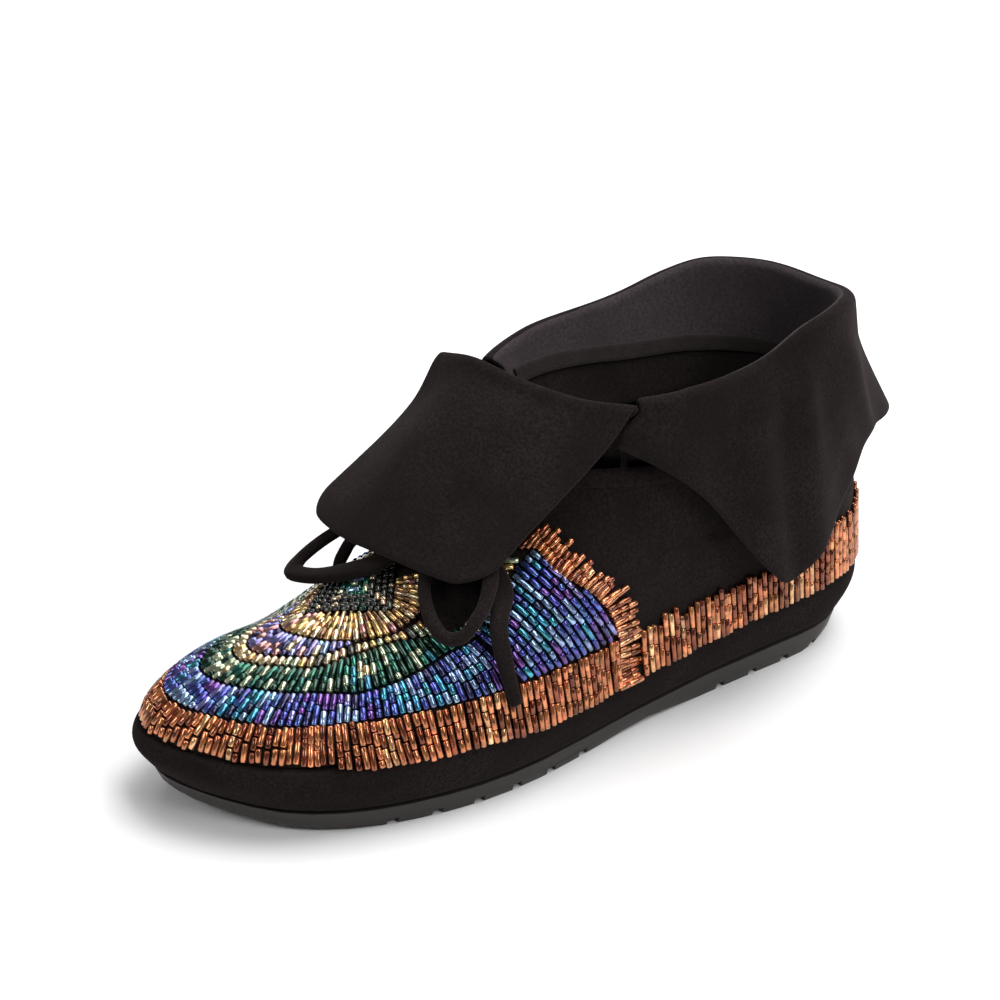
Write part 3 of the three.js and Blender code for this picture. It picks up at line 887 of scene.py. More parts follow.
def turned(turn):
    """The level direction at a turn in degrees from the back, towards the outer side."""
    angle = math.radians(turn)
    return Vector((math.sin(angle), math.cos(angle), 0))


def turn_of(point):
    """The turn of a point about the shaft's axis, from the back towards the outer side."""
    return math.degrees(math.atan2(point.x - COLLAR_AXIS.x, point.y - COLLAR_AXIS.y))


def lay_band(name, columns, outward, thickness, finish, closed):
    """A thin band of leather through columns of points, thick towards outward."""
    across = len(columns) - 1
    down = len(columns[0]) - 1
    bm = bmesh.new()
    bmesh.ops.create_grid(bm, x_segments=across, y_segments=down, size=0.5)
    for vert in bm.verts:
        column = round((vert.co.x + 0.5) * across)
        row = round((vert.co.y + 0.5) * down)
        vert.co = columns[column][row]
    if closed:
        bmesh.ops.remove_doubles(bm, verts=bm.verts, dist=MERGE_DISTANCE)
    bm.normal_update()
    bm.faces.ensure_lookup_table()
    if bm.faces[0].normal.dot(outward) < 0:
        bmesh.ops.reverse_faces(bm, faces=bm.faces)
    piece = new_piece(name, mesh_of(bm, name), [finish])
    wall = piece.modifiers.new("thickness", "SOLIDIFY")
    wall.thickness = thickness
    wall.offset = 1
    round_edges(piece, BAND_EDGE_ANGLE, thickness * BAND_ROUNDING)


class BOOT_OT_upper(bpy.types.Operator):
    """Finishes the vamp and quarters, with their seam and the band below the topline"""

    bl_idname = "boot.upper"
    bl_label = "Upper"

    def execute(self, context):
        bm = smooth_copy("upper")
        bm.normal_update()
        moves = []
        for vert in bm.verts:
            station = HEEL_TO_ORIGIN - vert.co.y
            seam = np.interp(station, SEAM_STATIONS, SEAM_HEIGHTS)
            below = ease(-SEAM_SOFTNESS, SEAM_SOFTNESS, seam - vert.co.z)
            quarter = 1 - ease(QUARTER_END - QUARTER_FADE, QUARTER_END, station)
            side = vert.co.x - SHELL_MIDDLE
            inside = Vector((side * SHELL_SHARE, COLLAR_AXIS.y, vert.co.z))
            if vert.normal.dot(vert.co - inside) > 0:
                moves.append((vert, vert.normal * sizes().seam_step * below * quarter))
        for vert, move in moves:
            vert.co += move
        for vert in bm.verts:
            across = (vert.co.x - VAMP_DIP["side"]) / VAMP_DIP["across"]
            along = (HEEL_TO_ORIGIN - vert.co.y - VAMP_DIP["station"]) / VAMP_DIP["along"]
            depth = VAMP_DIP["depth"] * math.exp(-(across**2) - along**2)
            vert.co.z -= depth * ease(*VAMP_DIP_HEIGHTS, vert.co.z)
        mesh = mesh_of(bm, "upper_leather")
        leather = new_piece("upper_leather", mesh, ["napped_suede"], ["upper"])
        skin = Skin(leather)
        columns = []
        for i in range(COLLAR_COLUMNS + 1):
            line = skin.line(COLLAR_AXIS, turned(360 * (i % COLLAR_COLUMNS) / COLLAR_COLUMNS))
            top = line.along[-1] - COLLAR_BELOW
            column = []
            for row in range(COLLAR_ROWS + 1):
                point, normal = line.spot(top - sizes().band_width * row / COLLAR_ROWS)
                column.append(point + normal * COLLAR_LIFT)
            columns.append(column)
        lay_band("collar_band", columns, turned(0), COLLAR_THICKNESS, "napped_suede", True)
        return {"FINISHED"}


# Cuff and flap

# Each fold of the hanging cuff: its turn at the fold line and at the hem, its half width in
# degrees, and how far it is pushed out.
CUFF_FOLDS = (
    {"top": 47, "hem": 22, "width": 6.5, "push": 0.0022},
    {"top": 60, "hem": 46, "width": 8, "push": -0.0014},
    {"top": 62, "hem": 62, "width": 6, "push": 0.0011},
    {"top": 74, "hem": 73, "width": 6, "push": -0.0011},
    {"top": 87, "hem": 87, "width": 7, "push": 0.0013},
    {"top": 105, "hem": 104, "width": 8, "push": -0.0013},
    {"top": 2, "hem": -4, "width": 9, "push": -0.0012},
    {"top": -24, "hem": -30, "width": 8, "push": 0.0014},
    {"top": -58, "hem": -54, "width": 9, "push": -0.0013},
    {"top": -80, "hem": -84, "width": 8, "push": 0.0013},
    {"top": -108, "hem": -104, "width": 9, "push": -0.0012},
)
# A fold goes from its upper to its lower turn over this fall, and swells between two drops.
FOLD_FALL = 0.05
FOLD_DROPS = (0.004, 0.024)
# The height of the fold line is taken in sectors of this many degrees.
CROWN_STEP = 5
# Rays that look for the sheet's other layer start past its own wall.
PAST_WALL = 0.0025
LAYER_REACH = 0.05
FACING_IN = -0.3
# At the slits the fold of the cuff is drawn back or on: between two turns and two heights.
CUFF_SLITS = (
    {"turns": (116, 131), "heights": (0.0950, 0.1005), "move": (0.0011, 0.0028, 0)},
    {"turns": (-124, -140), "heights": (0.0965, 0.1015), "move": (0.0016, -0.0031, -0.0004)},
)
# The outer corner of the flap is drawn over the cuff: by side, height and distance from the crest.
FLAP_CREST = {"station": 0.1124, "side": 0.0343, "slant": 0.5, "fade": (-0.004, 0.0005)}
FLAP_TIP = {"sides": (0.022, 0.0345), "heights": (0.066, 0.098), "move": (0.0015, 0.0027, 0)}
# The tape inside the shaft: heights of its upper edge by turn.
TAPE_TURNS = (-147, -140, -130, -120, -100, -78, -48, -36, -20, 0)
TAPE_TOPS = (0.0957, 0.0957, 0.0954, 0.0950, 0.0942, 0.0930, 0.0919, 0.0910, 0.0900, 0.0890)
TAPE_WIDTH = 0.0052
TAPE_COLUMNS = 72
TAPE_ROWS = 4
TAPE_LIFT = 0.0002
TAPE_THICKNESS = 0.0006


def mark_raw_edges(bm):
    """Gives the cut edges of a suede sheet, which lie between two sharp edges, the second finish: a greyer
    suede that also paints the highlight along these edges.
    """
    for face in bm.faces:
        sharp = [edge for edge in face.edges if edge.calc_face_angle(0) > SHARP_ANGLE]
        if len(sharp) >= 2:
            face.material_index = 1


def mark_painted_light_inside(bm):
    """Gives the faces inside the standing shaft, above its tape, the third finish: the same suede made
    lighter, painted light on the inner wall.
    """
    tree = BVHTree.FromBMesh(bm)
    for face in bm.faces:
        middle = face.calc_center_median()
        away = (middle - COLLAR_AXIS) * Vector((1, 1, 0))
        tape = float(np.interp(turn_of(middle), TAPE_TURNS, TAPE_TOPS)) - TAPE_WIDTH / 2
        if middle.z < tape or face.normal.dot(away.normalized()) > FACING_IN:
            continue
        if tree.ray_cast(middle - away.normalized() * PAST_WALL, -away, away.length)[0] is None:
            face.material_index = 2


def hanging_out(bm):
    """The vertices of a folded sheet that have none of the sheet outside them."""
    tree = BVHTree.FromBMesh(bm)
    loose = []
    for vert in bm.verts:
        way = (vert.co - COLLAR_AXIS) * Vector((1, 1, 0))
        way.normalize()
        if tree.ray_cast(vert.co + way * PAST_WALL, way, LAYER_REACH)[0] is None:
            loose.append(vert)
    return loose


class BOOT_OT_cuff(bpy.types.Operator):
    """Drapes the folded cuff, with its soft folds and the tape inside the shaft"""

    bl_idname = "boot.cuff"
    bl_label = "Cuff"

    def execute(self, context):
        bm = smooth_copy("shaft_cuff", raw_edges=True)
        crown = {}
        for vert in bm.verts:
            key = round(turn_of(vert.co) / CROWN_STEP)
            crown[key] = max(crown.get(key, 0), vert.co.z)
        keys = sorted(crown)
        moves = []
        for vert in hanging_out(bm):
            turn = turn_of(vert.co)
            drop = np.interp(turn / CROWN_STEP, keys, [crown[key] for key in keys]) - vert.co.z
            push = 0.0
            for fold in CUFF_FOLDS:
                share = min(1.0, drop / FOLD_FALL)
                middle = fold["top"] + (fold["hem"] - fold["top"]) * share
                push += fold["push"] * math.exp(-(((turn - middle) / fold["width"]) ** 2))
            moves.append((vert, turned(turn) * push * ease(*FOLD_DROPS, drop)))
        for vert, move in moves:
            vert.co += move
        for slit in CUFF_SLITS:
            for vert in bm.verts:
                first, last = slit["turns"]
                share = ease(0, 1, (turn_of(vert.co) - first) / (last - first))
                vert.co += Vector(slit["move"]) * share * ease(*slit["heights"], vert.co.z)
        bm.normal_update()
        # Painted light on the inner wall of the standing shaft, given as a lighter suede finish.
        mark_painted_light_inside(bm)
        finishes = ["napped_suede", "raw_edge", "shaft_suede"]
        cuff = new_piece("cuff_suede", mesh_of(bm, "cuff_suede"), finishes, ["shaft_cuff"])
        self.tape_the_shaft(Skin(cuff))
        return {"FINISHED"}

    def tape_the_shaft(self, skin):
        """Lays the narrow tape on the inside of the standing shaft."""
        columns = []
        for i in range(TAPE_COLUMNS + 1):
            turn = TAPE_TURNS[0] + (TAPE_TURNS[-1] - TAPE_TURNS[0]) * i / TAPE_COLUMNS
            top = float(np.interp(turn, TAPE_TURNS, TAPE_TOPS))
            column = []
            for row in range(TAPE_ROWS + 1):
                level = COLLAR_AXIS + UP * (top - TAPE_WIDTH * row / TAPE_ROWS)
                hit = skin.tree.ray_cast(level, turned(turn))[0]
                column.append(hit - turned(turn) * TAPE_LIFT)
            columns.append(column)
        inward = -turned(TAPE_TURNS[0])
        lay_band("shaft_tape", columns, inward, TAPE_THICKNESS, "lining_leather", False)


class BOOT_OT_flap(bpy.types.Operator):
    """Drapes the folded flap of the tongue over the lace"""

    bl_idname = "boot.flap"
    bl_label = "Flap"

    def execute(self, context):
        bm = smooth_copy("tongue_flap", raw_edges=True)
        for vert in bm.verts:
            crest = FLAP_CREST["station"] + FLAP_CREST["slant"] * (FLAP_CREST["side"] - vert.co.x)
            hanging = ease(*FLAP_CREST["fade"], HEEL_TO_ORIGIN - vert.co.y - crest)
            outer = ease(*FLAP_TIP["sides"], vert.co.x)
            vert.co += Vector(FLAP_TIP["move"]) * hanging * outer * ease(*FLAP_TIP["heights"], vert.co.z)
        flap = new_piece(
            "flap_suede", mesh_of(bm, "flap_suede"), ["napped_suede", "raw_edge"], ["tongue_flap"]
        )
        return {"FINISHED"}


# Beads

BEAD_SIDES = 8
# The outline of half a bead: distance from its axis and from its end, both in bead radii.
BEAD_PROFILE = ((0.42, 0.0), (0.8, 0.0), (1.0, 0.3))
# A bead's axis lies this many radii over the leather.
BEAD_LIFT = 0.92
# Doubles of the unit bead are merged within this share of its radius.
BEAD_WELD = 0.001
# Every piece of beads has its own seed.
SEEDS = {
    "blue_band": 11,
    "green_band": 12,
    "champagne_band": 13,
    "lilac_band": 14,
    "gold_band": 15,
    "diamond": 16,
    "sole_fringe": 21,
    "side_fringe": 22,
}
# How far a bead's colour is dimmed or lit, and how often it isn't the colour of its strand.
SHADE_GAINS = (0.7, 1.15)
STREAK_GAINS = (0.8, 1.2)
STRAY_SHARE = 0.2
# A strand: its least length and the usual length of its beads, both in bead lengths, and how
# uneven these beads are.
SHORTEST_STRAND = 0.4
USUAL_LENGTHS = (0.7, 1.4)
UNEVEN_LENGTHS = (0.6, 1.4)
# Half the gap between two beads of a strand, and how far strands and beads stray sideways.
BEAD_GAP = 0.00008
STRAND_DRIFT = 0.00012
BEAD_LEAN = 0.00018


class Beads:
    """Beads of one piece, gathered to be joined in one mesh."""

    def __init__(self, name, finish):
        self.name = name
        self.finish = finish
        self.dice = random.Random(SEEDS[name])
        self.starts = []
        self.ends = []
        self.normals = []
        self.tints = []
        self.widths = []

    def add(self, start, end, normal, tint, width=None):
        """One bead between two points on the leather, lifted to lie on it."""
        width = width or sizes().bead_diameter
        lift = normal * width / 2 * BEAD_LIFT
        self.starts.append(start + lift)
        self.ends.append(end + lift)
        self.normals.append(normal)
        self.tints.append(tint)
        self.widths.append(width)

    def shade(self, palette):
        """A colour of the palette, a little lighter or darker."""
        names = [name for name, _ in palette]
        weights = [weight for _, weight in palette]
        base = getattr(colours(), self.dice.choices(names, weights)[0])
        return lit(base, self.dice.uniform(*SHADE_GAINS))

    def streaked(self, streak, palette):
        """Mostly the colour of the strand, at times another one of the palette."""
        if self.dice.random() < STRAY_SHARE:
            return self.shade(palette)
        return lit(streak, self.dice.uniform(*STREAK_GAINS))

    def cuts(self, count):
        """Shares of a strand at which its beads meet."""
        marks = [0.0]
        for _ in range(count):
            marks.append(marks[-1] + self.dice.uniform(*UNEVEN_LENGTHS))
        return [mark / marks[-1] for mark in marks]

    def piece(self):
        """Makes the joined mesh a piece of the boot."""
        template, faces = bead_template()
        radius = np.array(self.widths)[:, None] / 2
        starts = np.array(self.starts)
        ends = np.array(self.ends)
        lengths = np.linalg.norm(ends - starts, axis=1)[:, None]
        axes = (ends - starts) / lengths
        across = np.cross(np.array(self.normals), axes)
        across /= np.linalg.norm(across, axis=1)[:, None]
        over = np.cross(axes, across)
        middles = (starts + ends) / 2
        side = np.sign(template[:, 2])
        inset = (1 - np.abs(template[None, :, 2])) * radius
        along = side[None, :] * (lengths / 2 - inset)
        verts = (
            middles[:, None, :]
            + across[:, None, :] * template[None, :, 0:1] * radius[:, :, None]
            + over[:, None, :] * template[None, :, 1:2] * radius[:, :, None]
            + axes[:, None, :] * along[:, :, None]
        ).reshape(-1, 3)
        count = len(starts)
        loops = (faces[None] + np.arange(count)[:, None, None] * len(template)).reshape(-1)
        mesh = bpy.data.meshes.new(self.name)
        mesh.vertices.add(len(verts))
        mesh.vertices.foreach_set("co", verts.ravel())
        mesh.loops.add(len(loops))
        mesh.loops.foreach_set("vertex_index", loops)
        corners = faces.shape[1]
        polygons = len(loops) // corners
        mesh.polygons.add(polygons)
        mesh.polygons.foreach_set("loop_start", np.arange(polygons) * corners)
        mesh.polygons.foreach_set("use_smooth", np.ones(polygons, dtype=bool))
        tints = np.ones((count, len(template), 4))
        tints[:, :, :3] = np.array(self.tints)[:, None, :]
        glass = mesh.attributes.new("glass", "FLOAT_COLOR", "POINT")
        glass.data.foreach_set("color", tints.ravel())
        mesh.update(calc_edges=True)
        mesh.validate()
        new_piece(self.name, mesh, [self.finish])


def bead_template():
    """One bead of radius 1 with a hole, as arrays of vertices and of quads."""
    bm = bmesh.new()
    outline = [(radius, 0, 1 - inset) for radius, inset in BEAD_PROFILE]
    outline += [(radius, 0, inset - 1) for radius, inset in reversed(BEAD_PROFILE)]
    verts = [bm.verts.new(co) for co in outline]
    edges = [bm.edges.new(pair) for pair in zip(verts, verts[1:] + verts[:1])]
    bmesh.ops.spin(
        bm,
        geom=verts + edges,
        cent=(0, 0, 0),
        axis=(0, 0, 1),
        angle=math.tau,
        steps=BEAD_SIDES,
        use_merge=True,
    )
    bmesh.ops.remove_doubles(bm, verts=bm.verts, dist=BEAD_WELD)
    bmesh.ops.recalc_face_normals(bm, faces=bm.faces)
    bm.verts.index_update()
    template = np.array([vert.co[:] for vert in bm.verts])
    faces = np.array([[vert.index for vert in face.verts] for face in bm.faces])
    bm.free()
    return template, faces


# Palettes: colours and how often each is drawn.
COPPER = (("copper", 6), ("copper_deep", 4), ("copper_pale", 1))
BLUE_PATCHES = (
    (("blue", 3), ("aqua", 4), ("sky", 4), ("navy", 1)),
    (("blue", 5), ("violet", 2), ("sky", 4), ("navy", 1)),
    (("violet", 3), ("blue", 3), ("lilac", 3), ("navy", 1)),
)
GREEN_PATCHES = (
    (("green", 4), ("pale_green", 2), ("deep_green", 4), ("aqua", 1)),
    (("green", 3), ("pale_green", 3), ("deep_green", 4), ("champagne", 1)),
    (("green", 3), ("deep_green", 5), ("pale_green", 2)),
)
CHAMPAGNE = (("champagne", 6), ("pale_green", 2), ("gold", 2), ("gunmetal", 1))
LILAC = (("lilac", 5), ("sky", 1), ("rose", 2), ("champagne", 1), ("navy", 1))
GOLD = (("gold", 7), ("champagne", 3), ("rose", 1), ("bronze", 2))
GUNMETAL = (("gunmetal", 6), ("deep_green", 1), ("suede", 4), ("champagne", 1))
DIAMOND_HEART = (("sky", 2), ("pale_green", 3), ("green", 3), ("gunmetal", 2))

# The bands about the diamond, by direction from the toe in degrees. Each edge is a share of
# the way from the diamond's middle to the sole's edge.
BAND_MIDDLE = place(0.001, 0.183, 0)
BAND_DIRECTIONS = (0, 9, 19, 29, 40, 50, 60, 75, 88, 104, 117, 127, 134, 140, 148)
GREEN_EDGES = (
    0.73, 0.73, 0.715, 0.715, 0.715, 0.74, 0.775, 0.775, 0.765, 0.745, 0.76, 0.76, 0.717, 0.66, 0.65
)
PALE_EDGES = (0.59, 0.58, 0.56, 0.56, 0.555, 0.524, 0.52, 0.525, 0.54, 0.61, 0.66, 0.66, 0.62, 0.59, 0.58)
LILAC_EDGES = (0.522, 0.51, 0.495, 0.489, 0.47, 0.455, 0.45, 0.47, 0.49, 0.50, 0.48, 0.44, 0.40, 0.36, 0.33)
GOLD_EDGES = (0.35, 0.35, 0.36, 0.37, 0.385, 0.40, 0.43, 0.46, 0.485, 0.48, 0.45, 0.40, 0.36, 0.32, 0.28)
# Beyond the throat's direction the leather next to the gold ring is bare.
THROAT_DIRECTION = 108
CREAM_DIRECTION = 132
# The side panel: the direction of its rear edge, the direction where it takes over from the blue
# band, the plan distance at its top, and the stretch of edge that gives its first strand's way.
PANEL_EDGE = 147.5
PANEL_START = 118
PANEL_TOP = 0.0520
PANEL_LEAD = 0.014
# Its strands are walked over the leather in short steps, the first from so many strand pitches
# behind the top of the edge.
PANEL_MARKS = 60
PANEL_STEP = 0.0008
PANEL_STRANDS = 20
PANEL_FIRST = 2.5
# Its bounds are taken at directions that go a little past it.
PANEL_BOUNDS_PAST = 8
PANEL_BOUNDS_STEP = 4
# Its rear edge bows: directions at plan distances from the diamond's middle.
PANEL_REACHES = (0.0497, 0.0550, 0.0590, 0.0628, 0.0668, 0.0707, 0.0747, 0.0757)
PANEL_DIRECTIONS = (149.2, 146.3, 144.7, 144.4, 144.9, 146.0, 147.8, 148.2)
BAND_GAP = 0.0003
BAND_MARKS = 12
# Where strands draw together their beads are narrower, and every other strand ends.
LEAST_ROOM = 0.62
ROOM_FILLED = 0.95
# Colours change in patches: how many to a metre, where one palette ends, and where noise starts.
PATCH_RATE = 95
PATCH_BREAKS = (-0.12, 0.16)
BLUE_PATCH_START = 3
GREEN_PATCH_START = 7
# The diamond: direction and distance of its corners, its rows as shares of that distance, and the
# share below which a row belongs to its heart.
DIAMOND_CORNERS = ((-14, 0.0150), (100, 0.0160), (180, 0.0145), (266, 0.0160))
DIAMOND_ROWS = (0.93, 0.77, 0.61, 0.45, 0.29, 0.13)
DIAMOND_HEART_ROW = 0.35
DIAMOND_LENGTHS = (0.55, 0.8)
DIAMOND_STRAY = 0.00022
DIAMOND_GAP = 0.01
OUTLINE_SLACK = 0.001
NEARLY_PARALLEL = 1e-9
ABOVE_BOOT = 0.2


def headed(direction):
    """The level direction at an angle in degrees from the toe towards the outer side."""
    angle = math.radians(direction)
    return Vector((math.sin(angle), -math.cos(angle), 0))


def band_share(edges, direction):
    return float(np.interp(abs(direction), BAND_DIRECTIONS, edges))


def lay_strand(beads, line, low, high, choose, length=1.0, width_at=None):
    """Beads end to end up a leather line, between two distances along it."""
    span = high - low
    if span < sizes().bead_length * SHORTEST_STRAND:
        return
    usual = sizes().bead_length * length * beads.dice.uniform(*USUAL_LENGTHS)
    shares = beads.cuts(max(1, round(span / usual)))
    drift = beads.dice.uniform(-STRAND_DRIFT, STRAND_DRIFT)
    for here, there in zip(shares, shares[1:]):
        first, normal = line.spot(low + span * here + BEAD_GAP)
        last, other = line.spot(low + span * there - BEAD_GAP)
        upright = (normal + other).normalized()
        aside = (last - first).cross(upright).normalized()
        lean = beads.dice.uniform(-BEAD_LEAN, BEAD_LEAN)
        start = first + aside * (drift - lean)
        end = last + aside * (drift + lean)
        width = width_at(low + span * (here + there) / 2) if width_at else None
        beads.add(start, end, upright, choose(first), width)


def patch_of(point, patches, start):
    """One of three palettes, in patches a few strands wide."""
    value = noise.noise(point * PATCH_RATE + Vector((start, 0, 0)))
    return patches[sum(value >= mark for mark in PATCH_BREAKS)]


def blue_palette(point):
    """The palette of the blue band and the side panels."""
    return patch_of(point, BLUE_PATCHES, BLUE_PATCH_START)


def green_palette(point):
    """The palette of the green band, which is cream where it runs up to the side panel."""
    if abs(direction_of(point)) > CREAM_DIRECTION:
        return CHAMPAGNE
    return patch_of(point, GREEN_PATCHES, GREEN_PATCH_START)


def panel_bow(side):
    """The heading of a side panel's rear edge by its plan distance."""

    def bow(reach):
        return headed(side * float(np.interp(reach, PANEL_REACHES, PANEL_DIRECTIONS)))

    return bow


def panel_edge(skin, side):
    """The leather line of a side panel's rear edge."""
    return skin.line(BAND_MIDDLE, headed(side * PANEL_EDGE), panel_bow(side))


def direction_of(point):
    """The direction of a point from the diamond's middle, in degrees from the toe."""
    away = Vector(point) - BAND_MIDDLE
    return math.degrees(math.atan2(away.x, -away.y))


def walk_straight(skin, spot, ahead, allowed):
    """Spots straight ahead over the leather for as long as they are allowed."""
    spots = [spot]
    for _ in range(PANEL_MARKS):
        point, normal = skin.nearest(spots[-1][0] + ahead * PANEL_STEP)
        ahead = (ahead - normal * ahead.dot(normal)).normalized()
        if not allowed(point):
            break
        spots.append((point, normal))
    return spots


def lay_panel(beads, skin, side, choose):
    """Straight strands of a side panel, each beside the one before it, from the rear edge forwards."""
    edge = panel_edge(skin, side)
    edge_reaches = edge.reach[::-1]
    edge_directions = [abs(direction_of(point)) for point in edge.points[::-1]]
    bounds = []
    nearest = PANEL_START - PANEL_BOUNDS_PAST
    farthest = round(PANEL_EDGE) + PANEL_BOUNDS_PAST
    for direction in range(nearest, farthest, PANEL_BOUNDS_STEP):
        line = skin.line(BAND_MIDDLE, headed(side * direction))
        top = line.spot(sizes().vamp_fringe)[0].z
        bounds.append((direction, top, line.reach[0] * band_share(GREEN_EDGES, direction)))
    bounds = np.array(bounds)

    def over_fringe(point):
        direction = abs(direction_of(point))
        return direction > PANEL_START and point.z > np.interp(direction, bounds[:, 0], bounds[:, 1])

    def outside_bands(point):
        direction = abs(direction_of(point))
        reach = (point - BAND_MIDDLE).xy.length
        return direction > PANEL_START and reach > np.interp(direction, bounds[:, 0], bounds[:, 2])

    def before_edge(point):
        reach = (point - BAND_MIDDLE).xy.length
        return abs(direction_of(point)) < np.interp(reach, edge_reaches, edge_directions)

    mark = edge.along_at(PANEL_TOP)
    point, normal = edge.spot(mark)
    ahead = (point - edge.spot(mark - PANEL_LEAD)[0]).normalized()
    step = side * sizes().strand_pitch * -PANEL_FIRST
    for _ in range(PANEL_STRANDS):
        point, normal = skin.nearest(point + normal.cross(ahead).normalized() * step)
        ahead = (ahead - normal * ahead.dot(normal)).normalized()
        step = side * sizes().strand_pitch
        if not over_fringe(point):
            break
        down = walk_straight(skin, (point, normal), -ahead, over_fringe)
        up = walk_straight(skin, (point, normal), ahead, outside_bands)
        spots = [spot for spot in down[::-1] + up[1:] if before_edge(spot[0])]
        if len(spots) > 2:
            line = LeatherLine(BAND_MIDDLE, spots)
            lay_strand(beads, line, 0, line.along[-1], choose)


def lay_band_of_strands(beads, skin, edges, choose, last):
    """Strands side by side round the vamp. edges gives both ends of a strand along its line."""
    pitch = sizes().strand_pitch
    direction = -last
    odd = False
    while direction <= last:
        line = skin.line(BAND_MIDDLE, headed(direction))
        low, high = edges(line, direction)
        step = math.degrees(pitch / float(np.interp(low, line.along, line.reach)))
        beside = skin.line(BAND_MIDDLE, headed(direction + step))
        marks = np.linspace(low, high, BAND_MARKS)
        gaps = np.array([beside.distance_to(line.spot(mark)[0]) for mark in marks])
        closing = pitch / gaps.max()
        rooms = gaps * closing
        close = rooms < sizes().bead_diameter * LEAST_ROOM
        if odd:
            high = min(high, marks[~close][-1])
        widths = np.minimum(sizes().bead_diameter, np.where(close, 2, 1) * rooms * ROOM_FILLED)

        def width_at(mark):
            return float(np.interp(mark, marks, widths))

        lay_strand(beads, line, low, high, choose, width_at=width_at)
        odd = not odd
        direction += step * closing


def sew_band(skin, name, edges, palette_at, last):
    """One band of beads as a piece, out to a direction on both sides.

    The band that ends where the side panels start takes them up in its piece.
    """
    beads = Beads(name, "iris_beads")

    def choose(point):
        return beads.shade(palette_at(point))

    lay_band_of_strands(beads, skin, edges, choose, last)
    if last == PANEL_START:
        for side in (1, -1):
            lay_panel(beads, skin, side, choose)
    beads.piece()


def between(outer, inner):
    """Both ends of a strand that fills the room between two edges of bands."""

    def edges(line, direction):
        edge = line.reach[0]
        low = line.along_at(edge * band_share(outer, direction)) + BAND_GAP
        high = line.along_at(edge * band_share(inner, direction)) - BAND_GAP
        return low, high

    return edges


def blue_edges(line, direction):
    """Both ends of a strand of the blue band, which starts over the fringe."""
    _, high = between(GREEN_EDGES, GREEN_EDGES)(line, direction)
    return sizes().vamp_fringe, high


def gold_edges(line, direction):
    """Both ends of a strand of the gold ring, which goes up to the diamond."""
    low, _ = between(GOLD_EDGES, GOLD_EDGES)(line, direction)
    return low, line.along_at(diamond_reach(direction)) - BAND_GAP


class BOOT_OT_vamp_beads(bpy.types.Operator):
    """Sews the bands of beads about the diamond on the vamp"""

    bl_idname = "boot.vamp_beads"
    bl_label = "Vamp beads"

    def execute(self, context):
        skin = Skin(bpy.data.objects["upper_leather"])
        pale_edges = between(PALE_EDGES, LILAC_EDGES)
        lilac_edges = between(LILAC_EDGES, GOLD_EDGES)
        # Piece, ends of its strands, palette, last direction.
        bands = (
            ("blue_band", blue_edges, blue_palette, PANEL_START),
            ("green_band", between(GREEN_EDGES, PALE_EDGES), green_palette, PANEL_EDGE),
            ("champagne_band", pale_edges, lambda point: CHAMPAGNE, THROAT_DIRECTION),
            ("lilac_band", lilac_edges, lambda point: LILAC, THROAT_DIRECTION),
            ("gold_band", gold_edges, lambda point: GOLD, PANEL_EDGE),
        )
        for band in bands:
            sew_band(skin, *band)
        lay_diamond(skin)
        return {"FINISHED"}


def diamond_corner(index):
    direction, reach = DIAMOND_CORNERS[index % len(DIAMOND_CORNERS)]
    return headed(direction) * reach


def diamond_reach(direction):
    """How far the diamond's outline is from its middle in a direction."""
    way = headed(direction)
    for i in range(len(DIAMOND_CORNERS)):
        start = diamond_corner(i)
        edge = diamond_corner(i + 1) - start
        cross = way.x * edge.y - way.y * edge.x
        if abs(cross) < NEARLY_PARALLEL:
            continue
        reach = (start.x * edge.y - start.y * edge.x) / cross
        share = (start.x * way.y - start.y * way.x) / cross
        if reach > 0 and -OUTLINE_SLACK <= share <= 1 + OUTLINE_SLACK:
            return reach
    raise RuntimeError("the diamond's outline is open")


def drop_on(skin, spot):
    """The leather below a place."""
    return skin.tree.ray_cast(spot + UP * ABOVE_BOOT, -UP)[:2]


def lay_diamond(skin):
    """Rows of small beads along the diamond's sides, with a light heart."""
    beads = Beads("diamond", "iris_beads")
    for row in DIAMOND_ROWS:
        palette = DIAMOND_HEART if row < DIAMOND_HEART_ROW else GUNMETAL
        for i in range(len(DIAMOND_CORNERS)):
            start = diamond_corner(i) * row
            end = diamond_corner(i + 1) * row
            usual = sizes().bead_length * beads.dice.uniform(*DIAMOND_LENGTHS)
            shares = beads.cuts(max(1, round((end - start).length / usual)))
            for here, there in zip(shares, shares[1:]):
                stray = Vector((beads.dice.uniform(-1, 1), beads.dice.uniform(-1, 1), 0)) * DIAMOND_STRAY
                first, normal = drop_on(skin, BAND_MIDDLE + start.lerp(end, here + DIAMOND_GAP) + stray)
                last, other = drop_on(skin, BAND_MIDDLE + start.lerp(end, there - DIAMOND_GAP) - stray)
                beads.add(first, last, (normal + other).normalized(), beads.shade(palette))
    beads.piece()


# Fringes

# The fringe's height round the sole, by station on the quarters and the heel.
FRINGE_STATIONS = (0.0, 0.020, 0.045, 0.060, 0.085, 0.105, 0.125, 0.135)
FRINGE_HEIGHTS = (0.0185, 0.0180, 0.0130, 0.0105, 0.0118, 0.0118, 0.0110, 0.0115)
# How far the fringe hangs over the rim of the sole, by station.
DROP_STATIONS = (0.0, 0.023, 0.045, 0.090, 0.126, 0.150, 0.170, 0.200, 0.222, 0.232)
FRINGE_DROPS = (0.0012, 0.0016, 0.0031, 0.0040, 0.0045, 0.0042, 0.0026, 0.0020, 0.0006, 0.0)
# A fringe that hangs less than this stays on the leather.
LEAST_DROP = 0.0005
DROPLESS_FOOT = 0.0003
RIM_OUT = 0.003
OUT_PER_DROP = 1.5
